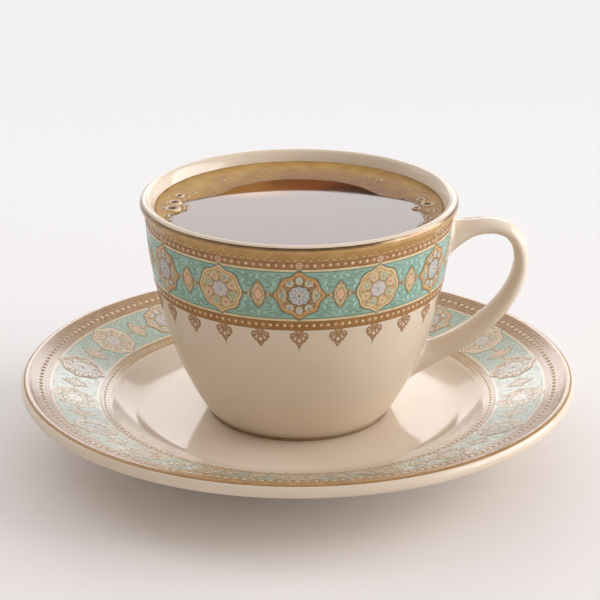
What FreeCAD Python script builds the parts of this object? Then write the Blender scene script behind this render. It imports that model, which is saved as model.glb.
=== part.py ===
import FreeCAD, Part
import os
from math import asin, cos, degrees, exp, hypot, pi, radians, sin, sqrt
import Sketcher

# A cup of arabic coffee on its saucer.  All lengths are in millimetres and angles in degrees.
# +Z is up and the origin is the middle of the saucer's foot, on the surface that it stands on.
# The cup's handle points along +X.

SIZES = {
    # the saucer: a flat well, a short curved wall, a straight flange and a rounded edge
    "saucer_radius": 75.3,
    "saucer_height": 19.5,
    "saucer_edge_thickness": 3.8,
    "flange_inner_radius": 51.3,
    "flange_drop": 7.65,
    "flange_bend_radius": 6.0,
    "well_curve_radius": 19.0,
    "well_floor_height": 8.5,
    "saucer_floor_thickness": 3.7,
    "saucer_underside_radius": 200.0,
    "saucer_underside_height": 4.6,
    "saucer_foot_radius": 38.0,
    "saucer_foot_width": 3.6,
    # the cup: it stands on the well's floor a little off centre; heights are from its foot,
    # drops are from its lip, and insets are inward from the lip's radius
    "cup_offset": 0.4,
    "cup_height": 61.0,
    "cup_wall": 3.0,
    "cup_lip_radius": 42.4,
    "cup_throat_inset": 1.4,
    "cup_throat_drop": 4.9,
    "cup_waist_inset": 6.3,
    "cup_waist_height": 26.2,
    "cup_belly_curve_radius": 90.0,
    "cup_base_inset": 17.1,
    "cup_base_height": 1.7,
    "cup_foot_inset": 18.0,
    "cup_foot_height": 1.1,
    "cup_foot_width": 3.4,
    "cup_recess_depth": 1.6,
    "cup_floor_height": 5.2,
    "cup_inner_corner_radius": 9.0,
    # the handle: a strap that leaves the wall, climbs to a shoulder and falls back to the belly;
    # its reaches are outward from the lip's radius
    "handle_top_root_drop": 12.0,
    "handle_shoulder_drop": 10.8,
    "handle_shoulder_reach": 14.6,
    "handle_back_drop": 14.2,
    "handle_back_reach": 16.6,
    "handle_elbow_height": 30.9,
    "handle_elbow_reach": 13.0,
    "handle_low_root_height": 13.9,
    "handle_rise_angle": 38.0,
    "handle_fall_angle": 25.7,
    "handle_thickness": 3.9,
    "handle_width": 8.6,
    "handle_top_arm_growth": 0.5,
    "handle_low_arm_growth": 2.5,
    "handle_top_root_thickness": 10.3,
    "handle_top_root_spread": 1.4,
    "handle_low_root_thickness": 11.5,
    "handle_low_root_spread": 0.2,
    "handle_root_depth": 1.5,
    "handle_root_flare": 4.8,
    # the drink: coffee up to its level, with a ring of froth that floats against the wall
    "drink_level_below_lip": 3.4,
    "drink_clearance": 0.05,
    "froth_thickness": 0.5,
    "froth_width": 8.2,
    "froth_back_extra": 2.4,
    "froth_waviness": 0.9,
}

doc = FreeCAD.newDocument("coffee_cup_and_saucer")
sheet = doc.addObject("Spreadsheet::Sheet", "Sizes")
for row, (alias, size) in enumerate(SIZES.items(), start=1):
    sheet.set("A%d" % row, alias)
    sheet.set("B%d" % row, str(size))
    sheet.setAlias("B%d" % row, alias)
doc.recompute()


def size_of(alias):
    """The sheet's value for one named size."""
    return float(sheet.get(alias))


# ---- sketched profiles: radius across, height up, turned about the vertical axis ----

# the sketcher's own numbers for an arc's centre and for the two axes
CENTRE = 3
HORIZONTAL_AXIS = -1
VERTICAL_AXIS = -2


def plane_vector(radius, height):
    return FreeCAD.Vector(radius, height, 0)


def arc_between(centre, start, end, clockwise):
    """Sketch arc about a centre from start to end; a sketch stores arcs anticlockwise."""
    first, last = (end, start) if clockwise else (start, end)
    radius = hypot(start[0] - centre[0], start[1] - centre[1])
    circle = Part.Circle(plane_vector(*centre), FreeCAD.Vector(0, 0, 1), radius)
    return Part.ArcOfCircle(circle,
                            circle.parameter(plane_vector(*first)),
                            circle.parameter(plane_vector(*last)))


class Profile:
    """A closed sketch in a body's XZ plane, drawn as a chain of lines and arcs."""

    def __init__(self, body, name):
        self.sketch = body.newObject("Sketcher::SketchObject", name)
        plane = next(item for item in body.Origin.OriginFeatures if item.Role == "XZ_Plane")
        self.sketch.AttachmentSupport = [(plane, "")]
        self.sketch.MapMode = "FlatFace"
        self.ends = []

    def line(self, start, end):
        segment = Part.LineSegment(plane_vector(*start), plane_vector(*end))
        self.ends.append((1, 2))
        return self.sketch.addGeometry(segment, False)

    def arc(self, centre, start, end, clockwise=False):
        self.ends.append((2, 1) if clockwise else (1, 2))
        return self.sketch.addGeometry(arc_between(centre, start, end, clockwise), False)

    def add(self, kind, *references):
        return self.sketch.addConstraint(Sketcher.Constraint(kind, *references))

    def join(self, first, second, smooth=False):
        """Ties the end of one piece to the start of the next, tangent where smooth."""
        kind = "Tangent" if smooth else "Coincident"
        self.add(kind, first, self.ends[first][1], second, self.ends[second][0])

    def close(self, pieces, smooth_joints):
        """Joins the chain all round; smooth_joints are the pieces that leave smoothly."""
        for first, second in zip(pieces, pieces[1:] + pieces[:1]):
            self.join(first, second, first in smooth_joints)

    def measure(self, kind, references, value, expression):
        """A dimension bound to the sheet."""
        index = self.add(kind, *references, value)
        name = "%s_%d" % (kind, index)
        self.sketch.renameConstraint(index, name)
        self.sketch.setExpression("Constraints." + name, expression)

    def across(self, piece, end, value, expression):
        self.measure("DistanceX", (-1, 1, piece, end), value, expression)

    def up(self, piece, end, value, expression):
        self.measure("DistanceY", (-1, 1, piece, end), value, expression)

    def radius(self, piece, value, expression):
        self.measure("Radius", (piece,), value, expression)

    def start_of(self, piece):
        return self.ends[piece][0]

    def end_of(self, piece):
        return self.ends[piece][1]


def turned(body, profile, name):
    """The full turn of a profile about the vertical axis."""
    turn = body.newObject("PartDesign::Revolution", name)
    turn.Profile = profile.sketch
    turn.ReferenceAxis = (profile.sketch, ["V_Axis"])
    turn.Angle = 360.0
    body.Tip = turn
    profile.sketch.Visibility = False
    return turn


def toward(start, end, distance):
    """The point at a distance from start on the line to end."""
    length = hypot(end[0] - start[0], end[1] - start[1])
    return (start[0] + (end[0] - start[0]) * distance / length,
            start[1] + (end[1] - start[1]) * distance / length)


def circle_centre(first, first_distance, second, second_distance, side):
    """The point at given distances from two points; side +1 is left of first to second."""
    across, up = second[0] - first[0], second[1] - first[1]
    gap = hypot(across, up)
    along = (first_distance ** 2 - second_distance ** 2 + gap ** 2) / (2 * gap)
    off = side * sqrt(first_distance ** 2 - along ** 2)
    return (first[0] + (along * across - off * up) / gap,
            first[1] + (along * up + off * across) / gap)


# ---- the saucer ----

def make_saucer():
    """One turned piece of china: well, wall, flange, rounded edge, underside and foot ring."""
    rim = size_of("saucer_radius")
    height = size_of("saucer_height")
    edge = size_of("saucer_edge_thickness") / 2
    floor = size_of("well_floor_height")
    under_floor = floor - size_of("saucer_floor_thickness")
    bend = size_of("flange_bend_radius")
    well_curve = size_of("well_curve_radius")
    under_curve = size_of("saucer_underside_radius")
    foot = size_of("saucer_foot_radius")
    foot_inside = foot - size_of("saucer_foot_width")

    edge_centre = (rim - edge, height - edge)
    flange_foot = (size_of("flange_inner_radius"), height - size_of("flange_drop"))
    reach = hypot(edge_centre[0] - flange_foot[0], edge_centre[1] - flange_foot[1])
    slope = (asin((edge_centre[1] - flange_foot[1]) / reach) + asin(edge / reach))
    flange_top = (edge_centre[0] - edge * sin(slope), edge_centre[1] + edge * cos(slope))
    bend_centre = (flange_foot[0] + bend * sin(slope), flange_foot[1] - bend * cos(slope))
    rise = floor + well_curve - bend_centre[1]
    floor_edge = (bend_centre[0] - sqrt((well_curve + bend) ** 2 - rise ** 2), floor)
    well_centre = (floor_edge[0], floor + well_curve)
    wall_top = toward(well_centre, bend_centre, well_curve)
    foot_top = (foot, size_of("saucer_underside_height"))
    under_centre = circle_centre(foot_top, under_curve, edge_centre, under_curve - edge, 1)
    edge_bottom = toward(under_centre, edge_centre, under_curve)

    body = doc.addObject("PartDesign::Body", "saucer")
    outline = Profile(body, "saucer_outline")
    axis = outline.line((0, under_floor), (0, floor))
    well = outline.line((0, floor), floor_edge)
    wall = outline.arc(well_centre, floor_edge, wall_top)
    shoulder = outline.arc(bend_centre, wall_top, flange_foot, clockwise=True)
    flange = outline.line(flange_foot, flange_top)
    nose = outline.arc(edge_centre, flange_top, edge_bottom, clockwise=True)
    under = outline.arc(under_centre, edge_bottom, foot_top, clockwise=True)
    foot_side = outline.line(foot_top, (foot, 0))
    foot_face = outline.line((foot, 0), (foot_inside, 0))
    foot_back = outline.line((foot_inside, 0), (foot_inside, under_floor))
    ceiling = outline.line((foot_inside, under_floor), (0, under_floor))
    outline.close([axis, well, wall, shoulder, flange, nose, under,
                   foot_side, foot_face, foot_back, ceiling],
                  smooth_joints=[well, wall, shoulder, flange, nose])
    outline.add("PointOnObject", axis, 1, VERTICAL_AXIS)
    outline.add("Vertical", axis)
    outline.add("Horizontal", well)
    outline.add("Vertical", foot_side)
    outline.add("PointOnObject", foot_face, 1, HORIZONTAL_AXIS)
    outline.add("Horizontal", foot_face)
    outline.add("Vertical", foot_back)
    outline.add("Horizontal", ceiling)
    outline.up(axis, 2, floor, "Sizes.well_floor_height")
    outline.up(axis, 1, under_floor, "Sizes.well_floor_height - Sizes.saucer_floor_thickness")
    outline.radius(wall, well_curve, "Sizes.well_curve_radius")
    outline.radius(shoulder, bend, "Sizes.flange_bend_radius")
    outline.across(flange, 1, flange_foot[0], "Sizes.flange_inner_radius")
    outline.up(flange, 1, flange_foot[1], "Sizes.saucer_height - Sizes.flange_drop")
    outline.radius(nose, edge, "Sizes.saucer_edge_thickness / 2")
    outline.across(nose, CENTRE, edge_centre[0],
                   "Sizes.saucer_radius - Sizes.saucer_edge_thickness / 2")
    outline.up(nose, CENTRE, edge_centre[1],
               "Sizes.saucer_height - Sizes.saucer_edge_thickness / 2")
    outline.radius(under, under_curve, "Sizes.saucer_underside_radius")
    outline.across(foot_side, 1, foot, "Sizes.saucer_foot_radius")
    outline.up(foot_side, 1, foot_top[1], "Sizes.saucer_underside_height")
    outline.across(foot_back, 1, foot_inside,
                   "Sizes.saucer_foot_radius - Sizes.saucer_foot_width")
    turned(body, outline, "saucer_turned")
    return body


# ---- the cup's curves, shared by its wall, the drink and the handle's roots ----

class CupCurves:
    """Centres and joints of the three arcs that make the cup's outer side."""

    def __init__(self):
        wall = size_of("cup_wall")
        lip = size_of("cup_lip_radius")
        height = size_of("cup_height")
        self.base = (lip - size_of("cup_base_inset"), size_of("cup_base_height"))
        self.waist = (lip - size_of("cup_waist_inset"), size_of("cup_waist_height"))
        self.throat = (lip - size_of("cup_throat_inset"), height - size_of("cup_throat_drop"))
        self.belly_radius = size_of("cup_belly_curve_radius")
        self.belly_centre = circle_centre(self.base, self.belly_radius,
                                          self.waist, self.belly_radius, 1)
        # the upper arc leaves the belly's arc smoothly and passes through the throat
        normal = ((self.waist[0] - self.belly_centre[0]) / self.belly_radius,
                  (self.waist[1] - self.belly_centre[1]) / self.belly_radius)
        chord = (self.throat[0] - self.waist[0], self.throat[1] - self.waist[1])
        self.side_radius = -(chord[0] ** 2 + chord[1] ** 2) / (
            2 * (chord[0] * normal[0] + chord[1] * normal[1]))
        self.side_centre = (self.waist[0] - self.side_radius * normal[0],
                            self.waist[1] - self.side_radius * normal[1])
        # the lip is a full round, and the flare joins it to the side
        self.lip_centre = (lip - wall / 2, height - wall / 2)
        outward = ((self.throat[0] - self.side_centre[0]) / self.side_radius,
                   (self.throat[1] - self.side_centre[1]) / self.side_radius)
        offset = (self.throat[0] - self.lip_centre[0], self.throat[1] - self.lip_centre[1])
        self.flare_radius = (wall ** 2 / 4 - offset[0] ** 2 - offset[1] ** 2) / (
            2 * (outward[0] * offset[0] + outward[1] * offset[1]) - wall)
        self.flare_centre = (self.throat[0] + self.flare_radius * outward[0],
                             self.throat[1] + self.flare_radius * outward[1])

    def inside(self, gap):
        """Joints of the inner side, which lies a gap inside the outer one."""
        floor = size_of("cup_floor_height") + gap - size_of("cup_wall")
        corner = size_of("cup_inner_corner_radius")
        belly = self.belly_radius - gap
        up = floor + corner - self.belly_centre[1]
        corner_centre = (self.belly_centre[0] + sqrt((belly - corner) ** 2 - up ** 2),
                         floor + corner)
        return {
            "floor": floor,
            "corner_centre": corner_centre,
            "floor_edge": (corner_centre[0], floor),
            "corner_top": toward(self.belly_centre, corner_centre, belly),
            "waist": toward(self.belly_centre, self.waist, belly),
            "throat": toward(self.side_centre, self.throat, self.side_radius - gap),
        }

    def radius_inside(self, gap, height):
        """Radius of the inner side at a height in the flare or just below it."""
        if height < self.throat[1]:
            return self.side_centre[0] + sqrt(
                (self.side_radius - gap) ** 2 - (height - self.side_centre[1]) ** 2)
        return self.flare_centre[0] - sqrt(
            (self.flare_radius + gap) ** 2 - (height - self.flare_centre[1]) ** 2)

    def wall_point(self, height):
        """The outer side's radius and its lean from the vertical at a height."""
        if height < self.waist[1]:
            centre, radius = self.belly_centre, self.belly_radius
        else:
            centre, radius = self.side_centre, self.side_radius
        out = sqrt(radius ** 2 - (height - centre[1]) ** 2)
        return centre[0] + out, degrees(asin((centre[1] - height) / radius))


def draw_cup_sides(outline, curves, gap, gap_expression, top):
    """Floor, corner and inner arcs up to top, and the outer arcs that share their centres."""
    inside = curves.inside(gap)
    lip_outside = toward(curves.flare_centre, curves.lip_centre, curves.flare_radius)
    floor = outline.line((0, inside["floor"]), inside["floor_edge"])
    corner = outline.arc(inside["corner_centre"], inside["floor_edge"], inside["corner_top"])
    belly = outline.arc(curves.belly_centre, inside["corner_top"], inside["waist"])
    side = outline.arc(curves.side_centre, inside["waist"], inside["throat"])
    flare = outline.arc(curves.flare_centre, inside["throat"], top, clockwise=True)
    inner_lip = toward(curves.flare_centre, curves.lip_centre,
                       curves.flare_radius + size_of("cup_wall"))
    lip = outline.arc(curves.lip_centre, inner_lip, lip_outside, clockwise=True)
    outer_flare = outline.arc(curves.flare_centre, lip_outside, curves.throat)
    outer_side = outline.arc(curves.side_centre, curves.throat, curves.waist, clockwise=True)
    outer_belly = outline.arc(curves.belly_centre, curves.waist, curves.base, clockwise=True)
    outline.add("Horizontal", floor)
    outline.radius(corner, size_of("cup_inner_corner_radius"), "Sizes.cup_inner_corner_radius")
    outline.radius(belly, curves.belly_radius - gap,
                   "Sizes.cup_belly_curve_radius - (%s)" % gap_expression)
    for inner_arc, outer_arc in ((belly, outer_belly), (side, outer_side), (flare, outer_flare)):
        outline.add("Coincident", inner_arc, CENTRE, outer_arc, CENTRE)
    outline.across(lip, CENTRE, curves.lip_centre[0], "Sizes.cup_lip_radius - Sizes.cup_wall / 2")
    outline.up(lip, CENTRE, curves.lip_centre[1], "Sizes.cup_height - Sizes.cup_wall / 2")
    outline.across(outer_flare, outline.end_of(outer_flare), curves.throat[0],
                   "Sizes.cup_lip_radius - Sizes.cup_throat_inset")
    outline.up(outer_flare, outline.end_of(outer_flare), curves.throat[1],
               "Sizes.cup_height - Sizes.cup_throat_drop")
    outline.across(outer_belly, outline.start_of(outer_belly), curves.waist[0],
                   "Sizes.cup_lip_radius - Sizes.cup_waist_inset")
    outline.up(outer_belly, outline.start_of(outer_belly), curves.waist[1],
               "Sizes.cup_waist_height")
    outline.radius(outer_belly, curves.belly_radius, "Sizes.cup_belly_curve_radius")
    outline.across(outer_belly, outline.end_of(outer_belly), curves.base[0],
                   "Sizes.cup_lip_radius - Sizes.cup_base_inset")
    outline.up(outer_belly, outline.end_of(outer_belly), curves.base[1],
               "Sizes.cup_base_height")
    return [floor, corner, belly, side, flare], [lip, outer_flare, outer_side, outer_belly]


def make_inner_form(curves, name, gap, gap_expression):
    """The solid form that lies a gap inside the cup's outer side, up to the lip's middle."""
    height = size_of("cup_height") - size_of("cup_wall") / 2
    edge = (curves.radius_inside(gap, height), height)
    floor = curves.inside(gap)["floor"]

    body = doc.addObject("PartDesign::Body", name)
    outline = Profile(body, name + "_outline")
    inner, outer = draw_cup_sides(outline, curves, gap, gap_expression, edge)
    for piece in outer:
        outline.sketch.setConstruction(piece, True)
    for piece, following in zip(outer, outer[1:]):
        outline.join(piece, following, smooth=True)
    outline.radius(outer[0], size_of("cup_wall") / 2, "Sizes.cup_wall / 2")
    top = outline.line(edge, (0, height))
    axis = outline.line((0, height), (0, floor))
    outline.close(inner + [top, axis], smooth_joints=inner[:-1])
    outline.add("Horizontal", top)
    outline.add("PointOnObject", axis, 1, VERTICAL_AXIS)
    outline.add("Vertical", axis)
    outline.up(axis, 1, height, "Sizes.cup_height - Sizes.cup_wall / 2")
    outline.up(axis, 2, floor,
               "Sizes.cup_floor_height - Sizes.cup_wall + (%s)" % gap_expression)
    turned(body, outline, name + "_turned")
    return body


# ---- the cup's wall and foot ----

def make_cup_wall(curves):
    """The cup without its handle, turned in one piece from foot ring to rounded lip."""
    foot = size_of("cup_lip_radius") - size_of("cup_foot_inset")
    foot_inside = foot - size_of("cup_foot_width")
    foot_height = size_of("cup_foot_height")
    recess = size_of("cup_recess_depth")

    body = doc.addObject("PartDesign::Body", "cup_wall")
    outline = Profile(body, "cup_outline")
    wall = size_of("cup_wall")
    inner_lip = toward(curves.flare_centre, curves.lip_centre, curves.flare_radius + wall)
    inner, outer = draw_cup_sides(outline, curves, wall, "Sizes.cup_wall", inner_lip)
    ledge = outline.line(curves.base, (foot, foot_height))
    foot_side = outline.line((foot, foot_height), (foot, 0))
    foot_face = outline.line((foot, 0), (foot_inside, 0))
    foot_back = outline.line((foot_inside, 0), (foot_inside, recess))
    ceiling = outline.line((foot_inside, recess), (0, recess))
    axis = outline.line((0, recess), (0, size_of("cup_floor_height")))
    outline.close(inner + outer + [ledge, foot_side, foot_face, foot_back, ceiling, axis],
                  smooth_joints=inner + outer[:-1])
    outline.add("PointOnObject", axis, 1, VERTICAL_AXIS)
    outline.add("Vertical", axis)
    outline.add("Vertical", foot_side)
    outline.add("PointOnObject", foot_face, 1, HORIZONTAL_AXIS)
    outline.add("Horizontal", foot_face)
    outline.add("Vertical", foot_back)
    outline.add("Horizontal", ceiling)
    outline.up(axis, 1, recess, "Sizes.cup_recess_depth")
    outline.up(axis, 2, size_of("cup_floor_height"), "Sizes.cup_floor_height")
    outline.across(foot_side, 1, foot, "Sizes.cup_lip_radius - Sizes.cup_foot_inset")
    outline.up(foot_side, 1, foot_height, "Sizes.cup_foot_height")
    outline.across(foot_back, 1, foot_inside,
                   "Sizes.cup_lip_radius - Sizes.cup_foot_inset - Sizes.cup_foot_width")
    turned(body, outline, "cup_turned")
    return body


# ---- the handle ----

# places of the oval sections, as shares of the way from each root to the back of the strap;
# they are close together in the flare, where the loft would swell between distant ones
TOP_ARM_SHARES = (0.0, 0.06, 0.13, 0.24, 0.42, 0.7, 1.0)
LOW_ARM_SHARES = (0.0, 0.04, 0.08, 0.13, 0.2, 0.32, 0.5, 0.75)


def root_height(root):
    """Height of the upper or the lower root's middle on the wall."""
    if root == "top":
        return size_of("cup_height") - size_of("handle_top_root_drop")
    return size_of("handle_low_root_height")


def handle_back():
    """The point where the strap stands out furthest."""
    return FreeCAD.Vector(size_of("cup_lip_radius") + size_of("handle_back_reach"), 0,
                          size_of("cup_height") - size_of("handle_back_drop"))


def handle_line(curves):
    """The strap's middle line in the XZ plane, from the upper root round to the lower one."""
    lip, height = size_of("cup_lip_radius"), size_of("cup_height")
    rise, fall = radians(size_of("handle_rise_angle")), radians(size_of("handle_fall_angle"))
    top, low = root_height("top"), root_height("low")
    shoulder = FreeCAD.Vector(lip + size_of("handle_shoulder_reach"), 0,
                              height - size_of("handle_shoulder_drop"))
    elbow = FreeCAD.Vector(lip + size_of("handle_elbow_reach"), 0,
                           size_of("handle_elbow_height"))
    points = [FreeCAD.Vector(curves.wall_point(top)[0], 0, top), shoulder, handle_back(), elbow,
              FreeCAD.Vector(curves.wall_point(low)[0], 0, low)]
    reached = [0.0]
    for start, end in zip(points, points[1:]):
        reached.append(reached[-1] + start.distanceToPoint(end))
    line = Part.BSplineCurve()
    line.interpolate(Points=points, Parameters=reached, Scale=False,
                     InitialTangent=FreeCAD.Vector(cos(rise), 0, sin(rise)),
                     FinalTangent=FreeCAD.Vector(-cos(fall), 0, -sin(fall)))
    return line


def half_sum(*sizes_and_shares):
    """Expression for half of a sum of the sheet's sizes, each times its share."""
    terms = ["Sizes.%s * %.6f" % (alias, share) for alias, share in sizes_and_shares]
    return "(%s) / 2" % " + ".join(terms)


def place_oval(line, along, name):
    """An oval section with its middle on the strap's line, yet to be sized and turned."""
    oval = doc.addObject("Part::Ellipse", name)
    oval.Placement.Base = line.value(line.parameterAtDistance(along, line.FirstParameter))
    oval.Visibility = False
    return oval


def handle_ovals(curves, line, root, arm_length, shares):
    """Ovals along one arm: square to the wall and wide at the root, then along the strap."""
    lean = radians(curves.wall_point(root_height(root))[1])
    outward = FreeCAD.Vector(cos(lean), 0, -sin(lean))
    into_strap = outward if root == "top" else -outward
    at_wall = line.tangent(line.FirstParameter if root == "top" else line.LastParameter)[0]
    meeting = at_wall.dot(into_strap)
    side = FreeCAD.Vector(0, 1, 0)
    ovals = []
    for number, share in enumerate(shares):
        distance = arm_length * share
        along = distance if root == "top" else line.length() - distance
        oval = place_oval(line, along, "handle_%s_oval_%d" % (root, number))
        flare = exp(-(distance / size_of("handle_root_flare")) ** 2)
        tangent = line.tangent(line.parameterAtDistance(along, line.FirstParameter))[0]
        flow = tangent * (1 - flare) + into_strap * flare
        flow.normalize()
        slant = flow.dot(tangent)
        oval.setExpression("MajorRadius", half_sum(
            ("handle_width", 1 - flare),
            ("handle_%s_root_thickness" % root, flare),
            ("handle_%s_root_spread" % root, flare)))
        oval.setExpression("MinorRadius", half_sum(
            ("handle_thickness", (1 - flare) / slant),
            ("handle_%s_arm_growth" % root, (1 - share - flare) / slant),
            ("handle_%s_root_thickness" % root, flare * meeting / slant)))
        oval.Placement.Rotation = FreeCAD.Rotation(side, flow.cross(side), flow, "ZXY")
        if share == 0.0:
            oval.Placement.Base -= outward * 2 * size_of("handle_root_depth")
        ovals.append(oval)
    return ovals


def make_handle(curves):
    """An oval strap lofted through its sections and trimmed part-way into the cup's wall."""
    line = handle_line(curves)
    to_back = line.length(line.FirstParameter, line.parameter(handle_back()))
    top_ovals = handle_ovals(curves, line, "top", to_back, TOP_ARM_SHARES)
    low_ovals = handle_ovals(curves, line, "low", line.length() - to_back, LOW_ARM_SHARES)
    strap = doc.addObject("Part::Loft", "handle_strap")
    strap.Sections = top_ovals + low_ovals[::-1]
    strap.Solid = True
    strap.Ruled = False
    strap.MaxDegree = 3
    handle = doc.addObject("Part::Cut", "handle")
    handle.Base = strap
    handle.Tool = make_inner_form(curves, "handle_end_form", size_of("handle_root_depth"),
                                  "Sizes.handle_root_depth")
    return handle


def stand_on_saucer(piece):
    """Moves a piece from the cup's own foot to its place on the well's floor."""
    piece.setExpression("Placement.Base.x", "Sizes.cup_offset")
    piece.setExpression("Placement.Base.z", "Sizes.well_floor_height")


def make_cup(curves):
    """Wall and handle as one piece of china, standing on the well's floor."""
    cup = doc.addObject("Part::Fuse", "cup")
    cup.Base = make_cup_wall(curves)
    cup.Tool = make_handle(curves)
    cup.Refine = False
    stand_on_saucer(cup)
    return cup


# ---- the drink and its froth ----

# how many points the froth's edge has, and its waves as lobes round the cup and their start
FROTH_EDGE_POINTS = 48
FROTH_WAVES = ((3, 0.4), (5, 2.1), (8, 4.0), (13, 1.2))


def level_slab(name, bottom, thickness):
    """A wide flat cylinder between two heights, to take a layer out of the cup's hollow."""
    slab = doc.addObject("Part::Cylinder", name)
    slab.setExpression("Radius", "Sizes.cup_lip_radius")
    slab.setExpression("Placement.Base.z", bottom)
    slab.setExpression("Height", thickness)
    slab.Visibility = False
    return slab


def layer_of(hollow, slab, name):
    """What of the hollow lies between a slab's two heights."""
    layer = doc.addObject("Part::Common", name)
    layer.Base = hollow
    layer.Tool = slab
    return layer


def froth_edge(curves, level):
    """The froth's uneven inner edge: broad at the back, narrow in front, gently waved."""
    wall = curves.radius_inside(size_of("cup_wall"), level)
    points = []
    for step in range(FROTH_EDGE_POINTS):
        angle = 2 * pi * step / FROTH_EDGE_POINTS
        width = size_of("froth_width") + size_of("froth_back_extra") * sin(angle)
        for lobes, start in FROTH_WAVES:
            width += size_of("froth_waviness") * sin(lobes * angle + start) / sqrt(lobes)
        points.append(FreeCAD.Vector((wall - width) * cos(angle), (wall - width) * sin(angle), 0))
    edge = Part.BSplineCurve()
    edge.interpolate(Points=points, PeriodicFlag=True)
    return Part.Wire(edge.toShape())


def make_drink(curves):
    """The coffee up to its level, and the froth ring that floats on it against the wall."""
    level = "Sizes.cup_height - Sizes.drink_level_below_lip"
    hollow = make_inner_form(curves, "cup_hollow",
                             size_of("cup_wall") + size_of("drink_clearance"),
                             "Sizes.cup_wall + Sizes.drink_clearance")
    coffee = layer_of(hollow, level_slab("coffee_depth", "0", level), "coffee")
    froth_disc = layer_of(hollow, level_slab("froth_depth", level, "Sizes.froth_thickness"),
                          "froth_disc")
    pool_edge = doc.addObject("Part::Feature", "open_pool_edge")
    pool_edge.Shape = froth_edge(curves, size_of("cup_height") - size_of("drink_level_below_lip"))
    pool = doc.addObject("Part::Extrusion", "open_pool")
    pool.Base = pool_edge
    pool.DirMode = "Custom"
    pool.Dir = FreeCAD.Vector(0, 0, 1)
    pool.setExpression("LengthFwd", "Sizes.cup_height")
    pool.Solid = True
    froth = doc.addObject("Part::Cut", "froth")
    froth.Base = froth_disc
    froth.Tool = pool
    for layer in (coffee, froth):
        stand_on_saucer(layer)
    return coffee, froth


# ---- the whole, checked and written ----

curves = CupCurves()
nodes = [make_saucer(), make_cup(curves), *make_drink(curves)]
doc.recompute()

for item in doc.Objects:
    if "Invalid" in item.State or "Error" in item.State:
        raise RuntimeError("%s failed: %s" % (item.Name, item.State))
for node in nodes:
    if node.Shape.isNull() or not node.Shape.isValid() or len(node.Shape.Solids) != 1:
        raise RuntimeError("%s is not one sound solid" % node.Label)

os.makedirs("parts", exist_ok=True)
for node in nodes:
    node.Shape.exportStep("parts/%s.step" % node.Label)
    box = node.Shape.BoundBox
    print("%-8s %9.1f mm3  x %6.2f..%6.2f  y %6.2f..%6.2f  z %6.2f..%6.2f"
          % (node.Label, node.Shape.Volume, box.XMin, box.XMax, box.YMin, box.YMax,
             box.ZMin, box.ZMax))
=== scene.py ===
import random
from math import asin, atan2, cos, degrees, exp, hypot, pi, radians, sin, sqrt, tan

import bpy
import numpy as np
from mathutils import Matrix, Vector


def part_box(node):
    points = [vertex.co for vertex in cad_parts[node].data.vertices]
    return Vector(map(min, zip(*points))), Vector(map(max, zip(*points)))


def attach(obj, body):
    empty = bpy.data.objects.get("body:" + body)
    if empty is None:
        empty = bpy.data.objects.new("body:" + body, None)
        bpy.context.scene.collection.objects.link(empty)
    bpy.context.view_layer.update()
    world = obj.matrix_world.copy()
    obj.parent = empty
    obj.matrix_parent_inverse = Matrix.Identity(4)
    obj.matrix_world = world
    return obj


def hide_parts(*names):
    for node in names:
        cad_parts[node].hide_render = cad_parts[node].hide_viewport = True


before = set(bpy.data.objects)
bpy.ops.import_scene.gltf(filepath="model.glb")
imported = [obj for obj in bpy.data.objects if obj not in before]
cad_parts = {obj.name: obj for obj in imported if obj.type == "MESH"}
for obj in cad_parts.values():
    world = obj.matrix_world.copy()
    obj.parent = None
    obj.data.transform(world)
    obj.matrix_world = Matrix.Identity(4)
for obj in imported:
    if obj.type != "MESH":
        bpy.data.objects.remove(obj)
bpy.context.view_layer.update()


# ---- the saucer ----
# A shallow dish of cream-glazed china: a flat well for the cup, a short curved wall and a broad
# sloping flange.  It is turned in one piece and glazed; the grounds of its border and the gilt
# line on its edge are fired on as bands.

MM = 0.001
SAUCER_RIM, SAUCER_HEIGHT, EDGE_RADIUS = 75.3, 19.5, 1.9
FLANGE_INNER, FLANGE_DROP, FLANGE_BEND = 51.3, 7.65, 6.0
WELL_FLOOR, WELL_CURVE, UNDER_FLOOR = 8.5, 19.0, 4.8
FOOT_OUTER, FOOT_INNER, FOOT_TOP, FOOT_ROUNDING = 38.0, 34.4, 4.6, 0.9
UNDERSIDE = 200.0
# the last of these finishes is the cup's bare foot, its dark brown a painted contact shadow
CHINA, BROWN, CREAM, TURQUOISE, TAN, GILT, BARE_FOOT_SHADOW = range(7)
# the gilt line, in degrees up the rounded edge, and how far in each ground of the border runs
GILT_LOW, GILT_HIGH = 55, 67
FLANGE_GROUNDS = ((BROWN, 67.5), (CREAM, 66.9), (TURQUOISE, 54.9), (CREAM, 54.3),
                  (TAN, FLANGE_INNER))

CREAM_GLAZE = (226, 211, 193)
GLAZE_IOR, COAT_IOR, COAT_ROUGHNESS = 1.47, 1.7, 0.16
# how far the saucer's print pales toward the glaze, partly a painted sheen of the window's washed-out
# reflection, and its gloss and coat
SAUCER_PALE_PRINT_AND_SHEEN, SAUCER_GLOSS, SAUCER_COAT = 0.36, (0.2, 0.32), 0.9


def turns(count, offset=0.0):
    """Even steps of a whole turn."""
    return [2 * pi * (step + offset) / count for step in range(count)]


def arc(centre, start, end, steps=12):
    """Points along the shorter arc from start to end, both ends included."""
    first = atan2(start[1] - centre[1], start[0] - centre[0])
    last = atan2(end[1] - centre[1], end[0] - centre[0])
    sweep = (last - first + pi) % (2 * pi) - pi
    radius = hypot(start[0] - centre[0], start[1] - centre[1])
    return [(centre[0] + radius * cos(first + sweep * step / steps),
             centre[1] + radius * sin(first + sweep * step / steps))
            for step in range(steps + 1)]


def straight(start, end, steps=1):
    return [(start[0] + (end[0] - start[0]) * step / steps,
             start[1] + (end[1] - start[1]) * step / steps) for step in range(steps + 1)]


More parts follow.
